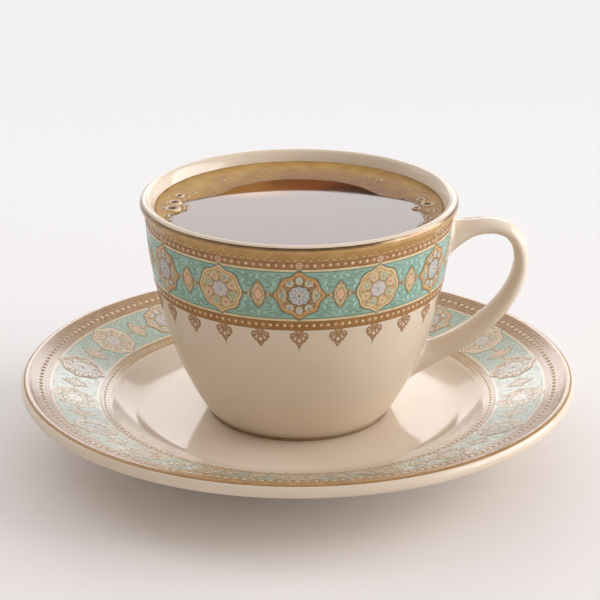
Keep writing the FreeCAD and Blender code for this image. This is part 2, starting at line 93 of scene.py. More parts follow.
def toward(start, end, distance):
    """The point at a distance from start on the line to end."""
    length = hypot(end[0] - start[0], end[1] - start[1])
    return (start[0] + (end[0] - start[0]) * distance / length,
            start[1] + (end[1] - start[1]) * distance / length)


def curved(start, corner, end, t):
    """A point on the curve from start to end that bends at the corner."""
    return tuple((1 - t) ** 2 * a + 2 * t * (1 - t) * b + t * t * c
                 for a, b, c in zip(start, corner, end))


def soft_corner(before, corner, after, radius, steps=5):
    """A rounded corner between two straight runs."""
    first, last = toward(corner, before, radius), toward(corner, after, radius)
    return [curved(first, corner, last, step / steps) for step in range(steps + 1)]


def circle_centre(first, first_distance, second, second_distance):
    """The point left of first to second at given distances from the two."""
    across, up = second[0] - first[0], second[1] - first[1]
    gap = hypot(across, up)
    along = (first_distance ** 2 - second_distance ** 2 + gap ** 2) / (2 * gap)
    off = sqrt(first_distance ** 2 - along ** 2)
    return (first[0] + (along * across - off * up) / gap,
            first[1] + (along * up + off * across) / gap)


def band(low, high, sides, flipped=False):
    """Faces between two closed rings of points, given by the numbers of their first points."""
    faces = []
    for j in range(sides):
        k = (j + 1) % sides
        faces.append((low + j, high + j, high + k, low + k) if flipped
                     else (low + j, low + k, high + k, high + j))
    return faces


def fan(tip, first, sides):
    """Faces from a point to the closed ring of points that starts at number first."""
    return [(tip, first + j, first + (j + 1) % sides) for j in range(sides)]


def put_in_scene(name, data):
    thing = bpy.data.objects.new(name, data)
    bpy.context.scene.collection.objects.link(thing)
    return thing


def make_piece(name, points, faces, finishes, marks):
    """A smooth mesh in millimetres, with a finish for each face, that rides on the root."""
    mesh = bpy.data.meshes.new(name)
    mesh.from_pydata([tuple(value * MM for value in point) for point in points], [], faces)
    for finish in finishes:
        mesh.materials.append(finish)
    mesh.polygons.foreach_set("material_index", marks)
    mesh.shade_smooth()
    mesh.update()
    piece = put_in_scene(name, mesh)
    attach(piece, "root")
    return piece


def turn(name, stretches, finishes, place, sides=288):
    """A form turned about an upright axis from stretches of (finish number, outline points)."""
    outline, bands = [stretches[0][1][0]], []
    for finish, run in stretches:
        outline += run[1:]
        bands += [finish] * (len(run) - 1)
    points = [(place[0], place[1], place[2] + outline[0][1])]
    for radius, height in outline[1:-1]:
        points += [(place[0] + radius * cos(t), place[1] + radius * sin(t), place[2] + height)
                   for t in turns(sides)]
    points.append((place[0], place[1], place[2] + outline[-1][1]))
    faces = [face[::-1] for face in fan(0, 1, sides)]
    for ring in range(len(outline) - 3):
        faces += band(1 + ring * sides, 1 + (ring + 1) * sides, sides)
    faces += fan(len(points) - 1, len(points) - 1 - sides, sides)
    marks = [finish for finish in bands for _ in range(sides)]
    return make_piece(name, points, faces, finishes, marks)


def srgb(red, green, blue):
    """Linear values of a colour that is given in screen levels from 0 to 255."""
    levels = [level / 255 for level in (red, green, blue)]
    return tuple(level / 12.92 if level <= 0.04045 else ((level + 0.055) / 1.055) ** 2.4
                 for level in levels) + (1.0,)


def feed(tree, node, inputs):
    """Gives each input its value, or links it to the output that feeds it."""
    for key, given in inputs.items():
        if isinstance(given, bpy.types.NodeSocket):
            tree.links.new(given, node.inputs[key])
        else:
            node.inputs[key].default_value = given


def add_node(tree, kind, inputs=None, **settings):
    node = tree.nodes.new(kind)
    for key, value in settings.items():
        setattr(node, key, value)
    feed(tree, node, inputs or {})
    return node


def object_place(tree):
    return add_node(tree, "ShaderNodeTexCoord").outputs["Object"]


def noise(tree, place, scale, detail, roughness):
    return add_node(tree, "ShaderNodeTexNoise", {
        "Vector": place, "Scale": scale, "Detail": detail, "Roughness": roughness}).outputs["Fac"]


def spread(tree, value, start, end, low=0.0, high=1.0, smooth=False):
    """Carries a value over from the span of start to end into that of low to high."""
    return add_node(tree, "ShaderNodeMapRange", {
        "Value": value, "From Min": start, "From Max": end, "To Min": low, "To Max": high},
        interpolation_type="SMOOTHSTEP" if smooth else "LINEAR").outputs["Result"]


def mixed(tree, share, first, second):
    """The first colour with a share of the second."""
    return add_node(tree, "ShaderNodeMix", {"Factor": share, "A": first, "B": second},
                    data_type="RGBA").outputs["Result"]


def new_material(name):
    """A material, its node tree and its shader."""
    material = bpy.data.materials.new(name)
    material.use_nodes = True
    return material, material.node_tree, material.node_tree.nodes["Principled BSDF"]


def make_fired_colour():
    """Node group: a fired colour that lies a little uneven, with the soft ripple of its glaze."""
    group = bpy.data.node_groups.new("fired colour", "ShaderNodeTree")
    for way, kind, sockets in (
            ("INPUT", "NodeSocketColor", ("Colour", "Thin Colour")),
            ("INPUT", "NodeSocketFloat", ("Patch Scale", "Grain Scale", "Smoothest", "Roughest")),
            ("OUTPUT", "NodeSocketColor", ("Colour",)),
            ("OUTPUT", "NodeSocketFloat", ("Roughness", "Height"))):
        for socket in sockets:
            group.interface.new_socket(name=socket, in_out=way, socket_type=kind)
    given = add_node(group, "NodeGroupInput").outputs
    place = object_place(group)
    patches = noise(group, place, given["Patch Scale"], 3.0, 0.55)
    grain = noise(group, place, given["Grain Scale"], 2.0, 0.5)
    thinness = spread(group, patches, 0.35, 0.68)
    add_node(group, "NodeGroupOutput", {
        "Colour": mixed(group, thinness, given["Colour"], given["Thin Colour"]),
        "Roughness": spread(group, grain, 0.3, 0.7, given["Smoothest"], given["Roughest"]),
        "Height": grain})
    return group


fired_colour = make_fired_colour()


def fired_finish(name, colour, thin, patch=70.0, grain=700.0, gloss=(0.07, 0.13), ripple=0.03,
                 metallic=0.0, coat=0.0):
    """A glazed finish: colour over a paler or darker second colour, with its own gloss."""
    material, tree, shader = new_material(name)
    fired = add_node(tree, "ShaderNodeGroup", {
        "Colour": srgb(*colour), "Thin Colour": srgb(*thin), "Patch Scale": patch,
        "Grain Scale": grain, "Smoothest": gloss[0], "Roughest": gloss[1]},
        node_tree=fired_colour).outputs
    bump = add_node(tree, "ShaderNodeBump", {
        "Height": fired["Height"], "Strength": ripple, "Distance": 0.2 * MM})
    feed(tree, shader, {
        "Base Color": fired["Colour"], "Roughness": fired["Roughness"],
        "Normal": bump.outputs["Normal"], "Metallic": metallic, "IOR": GLAZE_IOR,
        "Coat Weight": coat, "Coat Roughness": COAT_ROUGHNESS, "Coat IOR": COAT_IOR})
    return material


china = fired_finish("cream glazed china", CREAM_GLAZE, (219, 202, 181), patch=26.0)
gilt = fired_finish("gilt", (130, 100, 62), (104, 77, 44), patch=300.0, grain=1600.0,
                    gloss=(0.16, 0.3), ripple=0.05, metallic=0.85, coat=0.6)
worn_gilt = fired_finish("worn gilt", (176, 134, 80), (150, 110, 62), patch=300.0,
                         grain=1600.0, gloss=(0.3, 0.45), ripple=0.05, metallic=0.4)


def paled_toward_glaze(colour, fade):
    """A printed colour paled toward the cream glaze; on the saucer partly a painted sheen."""
    return tuple(level + (glaze - level) * fade for level, glaze in zip(colour, CREAM_GLAZE))


def border_grounds(whose, fade, gloss, coat, line):
    """The glazed china, the printed grounds of a border, each with its part of the paling toward
    the glaze (partly painted sheen on the saucer), and the gilt of its line."""
    return [china] + [
        fired_finish(whose + name, paled_toward_glaze(colour, fade * part), paled_toward_glaze(thin, fade * part),
                     patch=patch, grain=1500.0, gloss=gloss, ripple=0.05, coat=coat)
        for name, colour, thin, patch, part in (
            ("brown ground", (152, 108, 62), (176, 132, 80), 420.0, 0.3),
            ("cream line", (228, 208, 168), (214, 188, 142), 500.0, 1.0),
            ("turquoise ground", (130, 168, 152), (154, 187, 172), 260.0, 1.2),
            ("gold-tan ground", (180, 140, 84), (198, 160, 104), 380.0, 0.5))] + [line]


saucer_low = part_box("saucer")[0] / MM
saucer_place = (0.0, 0.0, saucer_low.z)
edge_centre = (SAUCER_RIM - EDGE_RADIUS, SAUCER_HEIGHT - EDGE_RADIUS)
flange_foot = (FLANGE_INNER, SAUCER_HEIGHT - FLANGE_DROP)
flange_reach = hypot(edge_centre[0] - flange_foot[0], edge_centre[1] - flange_foot[1])
flange_slope = (asin((edge_centre[1] - flange_foot[1]) / flange_reach)
                + asin(EDGE_RADIUS / flange_reach))
flange_top = (edge_centre[0] - EDGE_RADIUS * sin(flange_slope),
              edge_centre[1] + EDGE_RADIUS * cos(flange_slope))


def on_edge(turned):
    """A point of the rounded edge, turned in degrees from straight outward."""
    return (edge_centre[0] + EDGE_RADIUS * cos(radians(turned)),
            edge_centre[1] + EDGE_RADIUS * sin(radians(turned)))


def flange_height(radius):
    return flange_foot[1] + (radius - flange_foot[0]) * tan(flange_slope)


def flange_band(outer, inner):
    """A stretch of the flange's top between two radii."""
    steps = max(1, round((outer - inner) / 1.2))
    return straight((outer, flange_height(outer)), (inner, flange_height(inner)), steps)


def saucer_stretches():
    """The saucer's outline, from under its middle round the edge to the middle of its well."""
    bend_centre = (flange_foot[0] + FLANGE_BEND * sin(flange_slope),
                   flange_foot[1] - FLANGE_BEND * cos(flange_slope))
    rise = WELL_FLOOR + WELL_CURVE - bend_centre[1]
    well_centre = (bend_centre[0] - sqrt((WELL_CURVE + FLANGE_BEND) ** 2 - rise ** 2),
                   WELL_FLOOR + WELL_CURVE)
    wall_top = toward(well_centre, bend_centre, WELL_CURVE)
    recess, foot_back = (FOOT_INNER, UNDER_FLOOR), (FOOT_INNER, 0)
    foot_front, foot_top = (FOOT_OUTER, 0), (FOOT_OUTER, FOOT_TOP)
    some_way_out = (60.0, 9.6)
    under_centre = circle_centre(foot_top, UNDERSIDE, edge_centre, UNDERSIDE - EDGE_RADIUS)
    edge_bottom = toward(under_centre, edge_centre, UNDERSIDE)
    foot = (soft_corner((0, UNDER_FLOOR), recess, foot_back, 0.8)
            + soft_corner(recess, foot_back, foot_front, FOOT_ROUNDING)
            + soft_corner(foot_back, foot_front, foot_top, FOOT_ROUNDING)
            + soft_corner(foot_front, foot_top, some_way_out, FOOT_ROUNDING))
    grounds, outer = [], flange_top[0]
    for ground, inner in FLANGE_GROUNDS:
        grounds.append((ground, flange_band(outer, inner)))
        outer = inner
    return [
        (CHINA, [(0, UNDER_FLOOR)] + foot + arc(under_centre, foot_top, edge_bottom, 24)[1:]
         + arc(edge_centre, edge_bottom, on_edge(0), 8)[1:]
         + arc(edge_centre, on_edge(0), on_edge(GILT_LOW), 6)[1:]),
        (GILT, arc(edge_centre, on_edge(GILT_LOW), on_edge(GILT_HIGH), 3)),
        (BROWN, arc(edge_centre, on_edge(GILT_HIGH), flange_top, 6)),
        *grounds,
        (CHINA, arc(bend_centre, flange_foot, wall_top, 8)
         + arc(well_centre, wall_top, (well_centre[0], WELL_FLOOR), 14)[1:]
         + straight((well_centre[0], WELL_FLOOR), (0, WELL_FLOOR), 6)[1:])]


# the saucer's grounds are paled toward the glaze, partly as a painted sheen
saucer_grounds = border_grounds("saucer ", SAUCER_PALE_PRINT_AND_SHEEN, SAUCER_GLOSS, SAUCER_COAT, worn_gilt)
saucer = turn("saucer_dish", saucer_stretches(), saucer_grounds, saucer_place, 320)
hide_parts("saucer")


# ---- the cup's bowl ----
# A thin-walled cup of the same china, turned in one piece: a small foot, a belly that runs up
# into nearly straight sides, and a slightly flared, rounded lip.  The grounds of its border lie
# in bands under the lip, and a gilt line follows the lip's outer side.

CUP_HEIGHT, LIP_RADIUS, WALL = 61.0, 42.4, 3.0
# the arcs of the outer side as centre and radius, with the heights where they meet
BELLY, BELLY_BOTTOM, BELLY_TOP = ((-50.737, 49.849), 90.0), 1.7, 26.2
SIDE, SIDE_TOP = ((-105.446, 64.748), 146.701), 56.1
FLARE, FLARE_TOP = ((44.8774, 55.8710), 3.8842), 58.489
LIP_CENTRE = (40.9, 59.5)
CUP_FOOT_OUTER, CUP_FOOT_INNER, CUP_FOOT_HEIGHT, CUP_RECESS = 24.4, 21.0, 1.1, 1.6
CUP_FLOOR, CUP_CORNER = 5.2, 9.0
# how many of the foot's last outline points the glaze covers; the rest is bare, and its dark
# brown is painted shadow where the cup stands on the saucer
GLAZED_POINTS = 4
GILT_DEPTH = 0.42
# how far below the lip each ground runs up to, and how fine its steps are
CUP_GROUNDS = ((CHINA, 23.6, 0.9), (BROWN, 21.1, 0.6), (CREAM, 20.3, 0.6),
               (TURQUOISE, 7.15, 0.6), (CREAM, 6.4, 0.6), (BROWN, 4.5, 0.6), (TAN, 1.15, 0.3),
               (GILT, GILT_DEPTH, 0.1))

cup_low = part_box("cup")[0] / MM
cup_place = (cup_low.x + LIP_RADIUS, 0.0, cup_low.z)


def cup_radius(height):
    """The outer side's radius at a height above the cup's foot."""
    if height >= FLARE_TOP:
        return LIP_CENTRE[0] + sqrt(WALL ** 2 / 4 - (height - LIP_CENTRE[1]) ** 2)
    if height >= SIDE_TOP:
        (across, up), radius = FLARE
        return across - sqrt(radius ** 2 - (height - up) ** 2)
    (across, up), radius = BELLY if height < BELLY_TOP else SIDE
    return across + sqrt(radius ** 2 - (height - up) ** 2)


def cup_band(low, high, step):
    """A stretch of the outer side between two depths below the lip."""
    steps = max(1, round((low - high) / step))
    depths = [low + (high - low) * k / steps for k in range(steps + 1)]
    return [(cup_radius(CUP_HEIGHT - depth), CUP_HEIGHT - depth) for depth in depths]


def cup_stretches():
    """The cup's outline, from under its middle over the lip to the middle of its floor."""
    belly = BELLY[1] - WALL
    rise = CUP_FLOOR + CUP_CORNER - BELLY[0][1]
    corner = (BELLY[0][0] + sqrt((belly - CUP_CORNER) ** 2 - rise ** 2), CUP_FLOOR + CUP_CORNER)
    floor_edge = toward(BELLY[0], corner, belly)
    waist = toward(BELLY[0], (cup_radius(BELLY_TOP), BELLY_TOP), belly)
    throat = toward(SIDE[0], (cup_radius(SIDE_TOP), SIDE_TOP), SIDE[1] - WALL)
    inner_lip = toward(FLARE[0], LIP_CENTRE, FLARE[1] + WALL)
    gilt_top = (cup_radius(CUP_HEIGHT - GILT_DEPTH), CUP_HEIGHT - GILT_DEPTH)
    lip_top = (LIP_CENTRE[0], CUP_HEIGHT)
    recess, foot_back = (CUP_FOOT_INNER, CUP_RECESS), (CUP_FOOT_INNER, 0)
    foot_front, foot_top = (CUP_FOOT_OUTER, 0), (CUP_FOOT_OUTER, CUP_FOOT_HEIGHT)
    foot = (soft_corner((0, CUP_RECESS), recess, foot_back, 0.6)
            + soft_corner(recess, foot_back, foot_front, 0.6)
            + soft_corner(foot_back, foot_front, foot_top, 0.4)
            + soft_corner(foot_front, foot_top, (cup_radius(BELLY_BOTTOM), BELLY_BOTTOM), 0.3))
    glaze_start = len(foot) - GLAZED_POINTS
    grounds, low = [], CUP_HEIGHT - BELLY_BOTTOM
    for ground, high, step in CUP_GROUNDS:
        grounds.append((ground, cup_band(low, high, step)))
        low = high
    return [
        (CHINA, [(0, CUP_RECESS), foot[0]]),
        # the bare foot is dark brown as painted contact shadow under the cup
        (BARE_FOOT_SHADOW, foot[:glaze_start + 1]),
        (CHINA, foot[glaze_start:]),
        *grounds,
        (CHINA, arc(LIP_CENTRE, gilt_top, lip_top, 7)
         + arc(LIP_CENTRE, lip_top, inner_lip, 9)[1:]
         + arc(FLARE[0], inner_lip, throat, 8)[1:]
         + arc(SIDE[0], throat, waist, 30)[1:]
         + arc(BELLY[0], waist, floor_edge, 14)[1:]
         + arc(corner, floor_edge, (corner[0], CUP_FLOOR), 10)[1:]
         + straight((corner[0], CUP_FLOOR), (0, CUP_FLOOR), 4)[1:])]


# the bare foot's dark brown is painted contact shadow where the cup meets the saucer
cup_grounds = border_grounds("cup ", 0.0, (0.14, 0.26), 0.0, gilt) + [fired_finish(
    "bare foot painted shadow", (138, 112, 82), (160, 134, 102), patch=300.0, gloss=(0.6, 0.8), ripple=0.3)]
bowl = turn("cup_bowl", cup_stretches(), cup_grounds, cup_place)
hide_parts("cup")


# ---- the handle ----
# A strap of the same china with an oval section, cast apart and luted on while the clay is
# soft: it widens into both of its roots and runs out onto the wall in a small wiped fillet.

# the strap's middle line as (drop below the lip, reach past it), and its slants at the two ends
HANDLE_POINTS = ((12.0, 0.0), (10.8, 14.6), (14.2, 16.6), (30.1, 13.0), (47.1, 0.0))
RISE_ANGLE, FALL_ANGLE = 38.0, 25.7
STRAP_WIDTH, STRAP_THICKNESS = 8.6, 3.9
ROOT_FLARE, ROOT_START = 4.8, 1.6
# root thickness along the wall, its extra spread across, and what the arm gains toward it
TOP_ROOT, LOW_ROOT = (10.3, 1.4, 0.5), (11.5, 0.2, 2.5)
FILLET, SUNK_DEPTH = 1.7, 0.4


def line_lengths(points):
    """How far along a line of points each one lies."""
    return np.concatenate(([0.0], np.cumsum(np.hypot(*np.diff(points, axis=0).T))))


def clamped_spline(points, first_slope, last_slope):
    """Values and slopes of a smooth cubic line through points, spaced by their distances."""
    points = np.array(points)
    knots = line_lengths(points)
    gaps = np.diff(knots)[:, None]
    rises = np.diff(points, axis=0) / gaps
    count = len(points)
    matrix, aims = np.zeros((count, count)), np.zeros((count, 2))
    matrix[0, 0] = matrix[-1, -1] = 1.0
    aims[0], aims[-1] = first_slope, last_slope
    for k in range(1, count - 1):
        before, after = gaps[k - 1, 0], gaps[k, 0]
        matrix[k, k - 1:k + 2] = after, 2 * (before + after), before
        aims[k] = 3 * (after * rises[k - 1] + before * rises[k])
    slopes = np.linalg.solve(matrix, aims)

    def at(place):
        k = min(max(int(np.searchsorted(knots, place)) - 1, 0), count - 2)
        gap = gaps[k, 0]
        t = (place - knots[k]) / gap
        value = ((1 + 2 * t) * (1 - t) ** 2 * points[k] + t * (1 - t) ** 2 * gap * slopes[k]
                 + t * t * (3 - 2 * t) * points[k + 1] - t * t * (1 - t) * gap * slopes[k + 1])
        slope = (6 * t * (t - 1) * (points[k] - points[k + 1]) / gap
                 + (1 - t) * (1 - 3 * t) * slopes[k] + t * (3 * t - 2) * slopes[k + 1])
        return value, slope / np.hypot(*slope)
    return knots, at


def wall_normal(height):
    """The outward direction of the cup's outer side at a height, as (outward, up)."""
    (_, up), radius = BELLY if height < BELLY_TOP else SIDE
    return np.array((sqrt(1 - ((height - up) / radius) ** 2), (height - up) / radius))


def handle_rings(count=84, sides=40):
    """Oval rings along the strap, from the upper root to the lower one."""
    points = [(LIP_RADIUS + reach, CUP_HEIGHT - drop) for drop, reach in HANDLE_POINTS]
    for end in (0, -1):
        points[end] = (cup_radius(points[end][1]), points[end][1])
    rise, fall = radians(RISE_ANGLE), radians(FALL_ANGLE)
    knots, line_at = clamped_spline(points, (cos(rise), sin(rise)), (-cos(fall), -sin(fall)))
    spots = np.linspace(0, knots[-1], 400)
    lengths = line_lengths(np.array([line_at(spot)[0] for spot in spots]))
    to_back = lengths[np.abs(spots - knots[2]).argmin()]
    whole = lengths[-1]
    rings = []
    for length in np.linspace(ROOT_START, whole - ROOT_START, count):
        centre, ahead = line_at(np.interp(length, lengths, spots))
        from_top = length < to_back
        distance = length if from_top else whole - length
        share = distance / (to_back if from_top else whole - to_back)
        flare = exp(-(distance / ROOT_FLARE) ** 2)
        root, extra, growth = TOP_ROOT if from_top else LOW_ROOT
        normal = wall_normal(points[0 if from_top else -1][1])
        into_strap = normal if from_top else -normal
        meeting = abs(np.dot(line_at(0.0 if from_top else knots[-1])[1], normal))
        flow = ahead * (1 - flare) + into_strap * flare
        flow /= np.hypot(*flow)
        slant = np.dot(flow, ahead)
        wide = (STRAP_WIDTH * (1 - flare) + (root + extra) * flare) / 2
        thick = (STRAP_THICKNESS * (1 - flare) + growth * (1 - share - flare)
                 + root * meeting * flare) / 2 / slant
        rings.append(np.array([(centre[0] - thick * cos(t) * flow[1], wide * sin(t),
                                centre[1] + thick * cos(t) * flow[0]) for t in turns(sides)]))
    return rings


def above_wall(point):
    """How far a point stands outside the cup's wall, measured outward."""
    return hypot(point[0], point[1]) - cup_radius(point[2])


def moved_to_wall(point, above):
    """The point moved level in or out, to stand a little above the cup's wall."""
    share = (cup_radius(point[2]) + above) / hypot(point[0], point[1])
    return np.array((point[0] * share, point[1] * share, point[2]))


def fillet_rings(ring, before, steps=6):
    """Rings that carry the strap's last oval smoothly down and out onto the cup's wall."""
    landings = []
    for point, behind in zip(ring, before):
        ahead = (point - behind) / np.linalg.norm(point - behind)
        reach = 0.0
        for _ in range(30):
            reach += 0.9 * above_wall(point + ahead * reach)
        landings.append(point + ahead * reach)
    middle = np.mean(landings, axis=0)
    rings = [[] for _ in range(steps + 1)]
    for point, landing in zip(ring, landings):
        sideways = (landing - middle) / np.linalg.norm(landing - middle)
        rim = moved_to_wall(landing + sideways * FILLET, 0.01)
        for step in range(1, steps + 1):
            rings[step - 1].append(curved(point, landing, rim, step / steps))
        rings[steps].append(moved_to_wall(rim + sideways * SUNK_DEPTH, -SUNK_DEPTH))
    return [np.array(each) for each in rings]


def make_handle():
    """The strap with a fillet at each of its roots, closed by a face inside the wall."""
    strap = handle_rings()
    strap = fillet_rings(strap[0], strap[1])[::-1] + strap + fillet_rings(strap[-1], strap[-2])
    sides = len(strap[0])
    points = [tuple(point + np.array(cup_place)) for ring in strap for point in ring]
    faces = [tuple(range(sides)), tuple(reversed(range(len(points) - sides, len(points))))]
    for ring in range(len(strap) - 1):
        faces += band(ring * sides, (ring + 1) * sides, sides, flipped=True)
    return make_piece("cup_handle", points, faces, [china], [0] * len(faces))


handle = make_handle()
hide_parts("cup")


# ---- the border on the cup ----
# The border is printed in fine raised enamels between two rows of beads: round and star-shaped
# medallions take turns, with small lozenges between them on the turquoise, and little pendants
# hang below on the plain glaze.  It is a traditional arabesque, drawn here from plain curves.

ENAMELS = {
    "brown": ((132, 96, 60), (156, 118, 78)),
    "sepia": ((156, 116, 84), (176, 138, 104)),
    "olive": ((138, 112, 74), (160, 134, 94)),
    "orange": ((192, 144, 88), (208, 166, 110)),
    "gold": ((206, 172, 116), (190, 150, 94)),
    "cream": ((234, 212, 172), (222, 192, 150)),
    "lime": ((214, 206, 164), (196, 184, 138)),
    "sand": ((200, 168, 126), (184, 150, 108)),
    "leaf": ((160, 166, 136), (182, 184, 156)),
    "lilac": ((186, 182, 192), (204, 200, 204)),
    "mist": ((164, 180, 182), (194, 202, 200)),
    "blush": ((216, 168, 138), (228, 190, 160)),
    "deep": ((104, 135, 120), (122, 150, 137)),
    "pale": ((172, 204, 190), (156, 193, 178)),
}
MEDALLIONS, MEDALLION_HALF = 12, 6.7
BAND_RADIUS, FIELD_DEPTH, PENDANT_DEPTH = 39.6, 13.7, 23.6
PENDANT_LENGTHS = (6.3, 5.3)
FRONT = -pi / 2
# the heights of the two rows of beads and of the fine ones under the lip, from the field's middle
UPPER_BEADS, LOWER_BEADS, FINE_BEADS, TOP_BEADS = 8.28, -8.6, 9.75, 10.3
BEADS = 11
BROWN_LINES, DEEP_LINES = (9.15, 7.35, -7.45, -9.85), (6.45, -6.5)
# the half width that the medallions are drawn for, how high a stroke's crest stands for its
# half width, and how high a patch rises toward its middle
DRAWN_HALF, CREST, DOME = 6.5, 0.24, 0.012
# an arch of the star medallion, as points outward and across
ARCH = ((4.6, 0.0), (4.3, 0.8), (3.6, 1.05), (2.95, 0.7), (2.5, 0.0), (2.95, -0.7),
        (3.6, -1.05), (4.3, -0.8))
ARCH_LINE = ((2.3, 0.0), (3.0, 0.66), (3.7, 0.98), (4.3, 0.78), (4.75, 0.0), (4.3, -0.78),
             (3.7, -0.98), (3.0, -0.66))


def make_enamels(whose, fade, gloss, coat):
    return [fired_finish(whose + name + " enamel", paled_toward_glaze(colour, fade), paled_toward_glaze(thin, fade),
                         patch=900.0, grain=2400.0, gloss=gloss, ripple=0.04, coat=coat)
            for name, (colour, thin) in ENAMELS.items()]


class Border:
    """Strokes, leaves and beads of enamel, laid on a curved band of china about an angle."""

    def __init__(self, lay):
        self.lay, self.angle = lay, 0.0
        self.points, self.faces, self.marks = [], [], []

    def add(self, enamel, flat, faces):
        first = len(self.points)
        self.points += [self.lay(self.angle, *point) for point in flat]
        self.faces += [tuple(first + corner for corner in face) for face in faces]
        self.marks += [list(ENAMELS).index(enamel)] * len(faces)

    def ridge(self, enamel, path, side, half, base, closed):
        """A rounded line from its path, the ways to its side and its half widths."""
        flat, faces, rows = [], [], len(path)
        for spot, off, rise in zip(path, side, half * CREST):
            flat += [(*(spot + off), base), (*spot, base + rise), (*(spot - off), base)]
        for row in range(rows if closed else rows - 1):
            a, b = 3 * row, 3 * ((row + 1) % rows)
            faces += [(a, a + 1, b + 1, b), (a + 1, a + 2, b + 2, b + 1)]
        self.add(enamel, flat, faces)

    def stroke(self, enamel, path, width, base=0.03, closed=False, pointed=False):
        """A rounded line along a path; a pointed one thins out toward its end."""
        path = np.array(path, dtype=float)
        ahead = (np.roll(path, -1, 0) - np.roll(path, 1, 0)) if closed else np.gradient(
            path, axis=0)
        ahead /= np.hypot(ahead[:, 0], ahead[:, 1])[:, None]
        half = np.full(len(path), width / 2)
        if pointed:
            half *= np.linspace(1.0, 0.25, len(path))
        side = np.stack([-ahead[:, 1], ahead[:, 0]], 1) * half[:, None]
        self.ridge(enamel, path, side, half, base, closed)

    def loop(self, enamel, path, width, base=0.03):
        self.stroke(enamel, path, width, base, closed=True)

    def ring(self, enamel, radius, height, width, base=0.02, count=288):
        """A line all the way round the band."""
        self.angle = 0.0
        path = np.array([(radius * t, height) for t in turns(count)])
        side = np.tile((0.0, width / 2), (count, 1))
        self.ridge(enamel, path, side, np.full(count, width / 2), base, True)

    def patch(self, enamel, edge, base=0.02, rings=3):
        """A filled shape that is star-like about its middle, slightly domed."""
        edge = np.array(edge, dtype=float)
        middle = edge.mean(axis=0)
        count = len(edge)
        flat, faces = [(*middle, base + DOME)], fan(0, 1, count)
        for ring in range(1, rings + 1):
            share = ring / rings
            flat += [(*(middle + (spot - middle) * share), base + DOME * (1 - share ** 2))
                     for spot in edge]
        for ring in range(rings - 1):
            faces += band(1 + ring * count, 1 + (ring + 1) * count, count, flipped=True)
        self.add(enamel, flat, faces)

    def leaf(self, enamel, middle, turned, wide, tall, base):
        self.patch(enamel, oval(middle, turned, wide, tall, 8), base, 1)

    def bead(self, enamel, spot, radius, base=0.02, sides=8):
        """A small drop of enamel."""
        flat = [(*spot, base + 0.42 * radius)]
        for share, rise in ((0.62, 0.3), (1.0, 0.0)):
            flat += [(spot[0] + radius * share * cos(t), spot[1] + radius * share * sin(t),
                      base + rise * radius) for t in turns(sides)]
        self.add(enamel, flat, fan(0, 1, sides) + band(1, 1 + sides, sides, flipped=True))

    def dot(self, enamel, spot, radius, base=0.02):
        """A bead too small to need a rounder edge."""
        self.bead(enamel, spot, radius, base, 6)

    def fire(self, name, finishes):
        """Turns all that was laid into one piece."""
        return make_piece(name, self.points, self.faces, finishes, self.marks)


def away(t, reach):
    """The point at a reach from the middle, turned anticlockwise from straight up."""
    return (-reach * sin(t), reach * cos(t))


def around(count, radius_at, share=1.0):
    """A closed line about the middle."""
    return [away(t, radius_at(t) * share) for t in turns(count)]


def scalloped(waves, radius, size):
    return around(4 * waves, lambda t: size * (radius + 0.16 * cos(waves * t)))


def swell(t, centre, reach):
    """A smooth rise to one about a direction."""
    off = (t - centre + pi) % (2 * pi) - pi
    return exp(-(off / reach) ** 2)


def oval(middle, turned, wide, tall, count=12):
    """A small oval whose long axis is turned from straight up."""
    line = []
    for t in turns(count):
        x, y = -wide * sin(t), tall * cos(t)
        line.append((middle[0] + x * cos(turned) - y * sin(turned),
                     middle[1] + x * sin(turned) + y * cos(turned)))
    return line


def curl(middle, size, start, turned, steps=12):
    """A spiral that closes in on its middle."""
    return [(middle[0] + size * (1 - 0.66 * k / steps) * cos(start + turned * k / steps),
             middle[1] + size * (1 - 0.66 * k / steps) * sin(start + turned * k / steps))
            for k in range(steps + 1)]


def mirrored(path, side, up=1):
    """A path on one side or the other, above or below, that still faces outward."""
    line = [(side * x, up * y) for x, y in path]
    return line if side * up > 0 else line[::-1]


def lay_frame(border, count, outline, grounds, lines):
    """A medallion's grounds and the lines on them, each at its share of the outline."""
    for enamel, share, base, rings in grounds:
        border.patch(enamel, around(count, outline, share), base, rings)
    for enamel, share, width, base in lines:
        border.loop(enamel, around(count, outline, share), width, base)


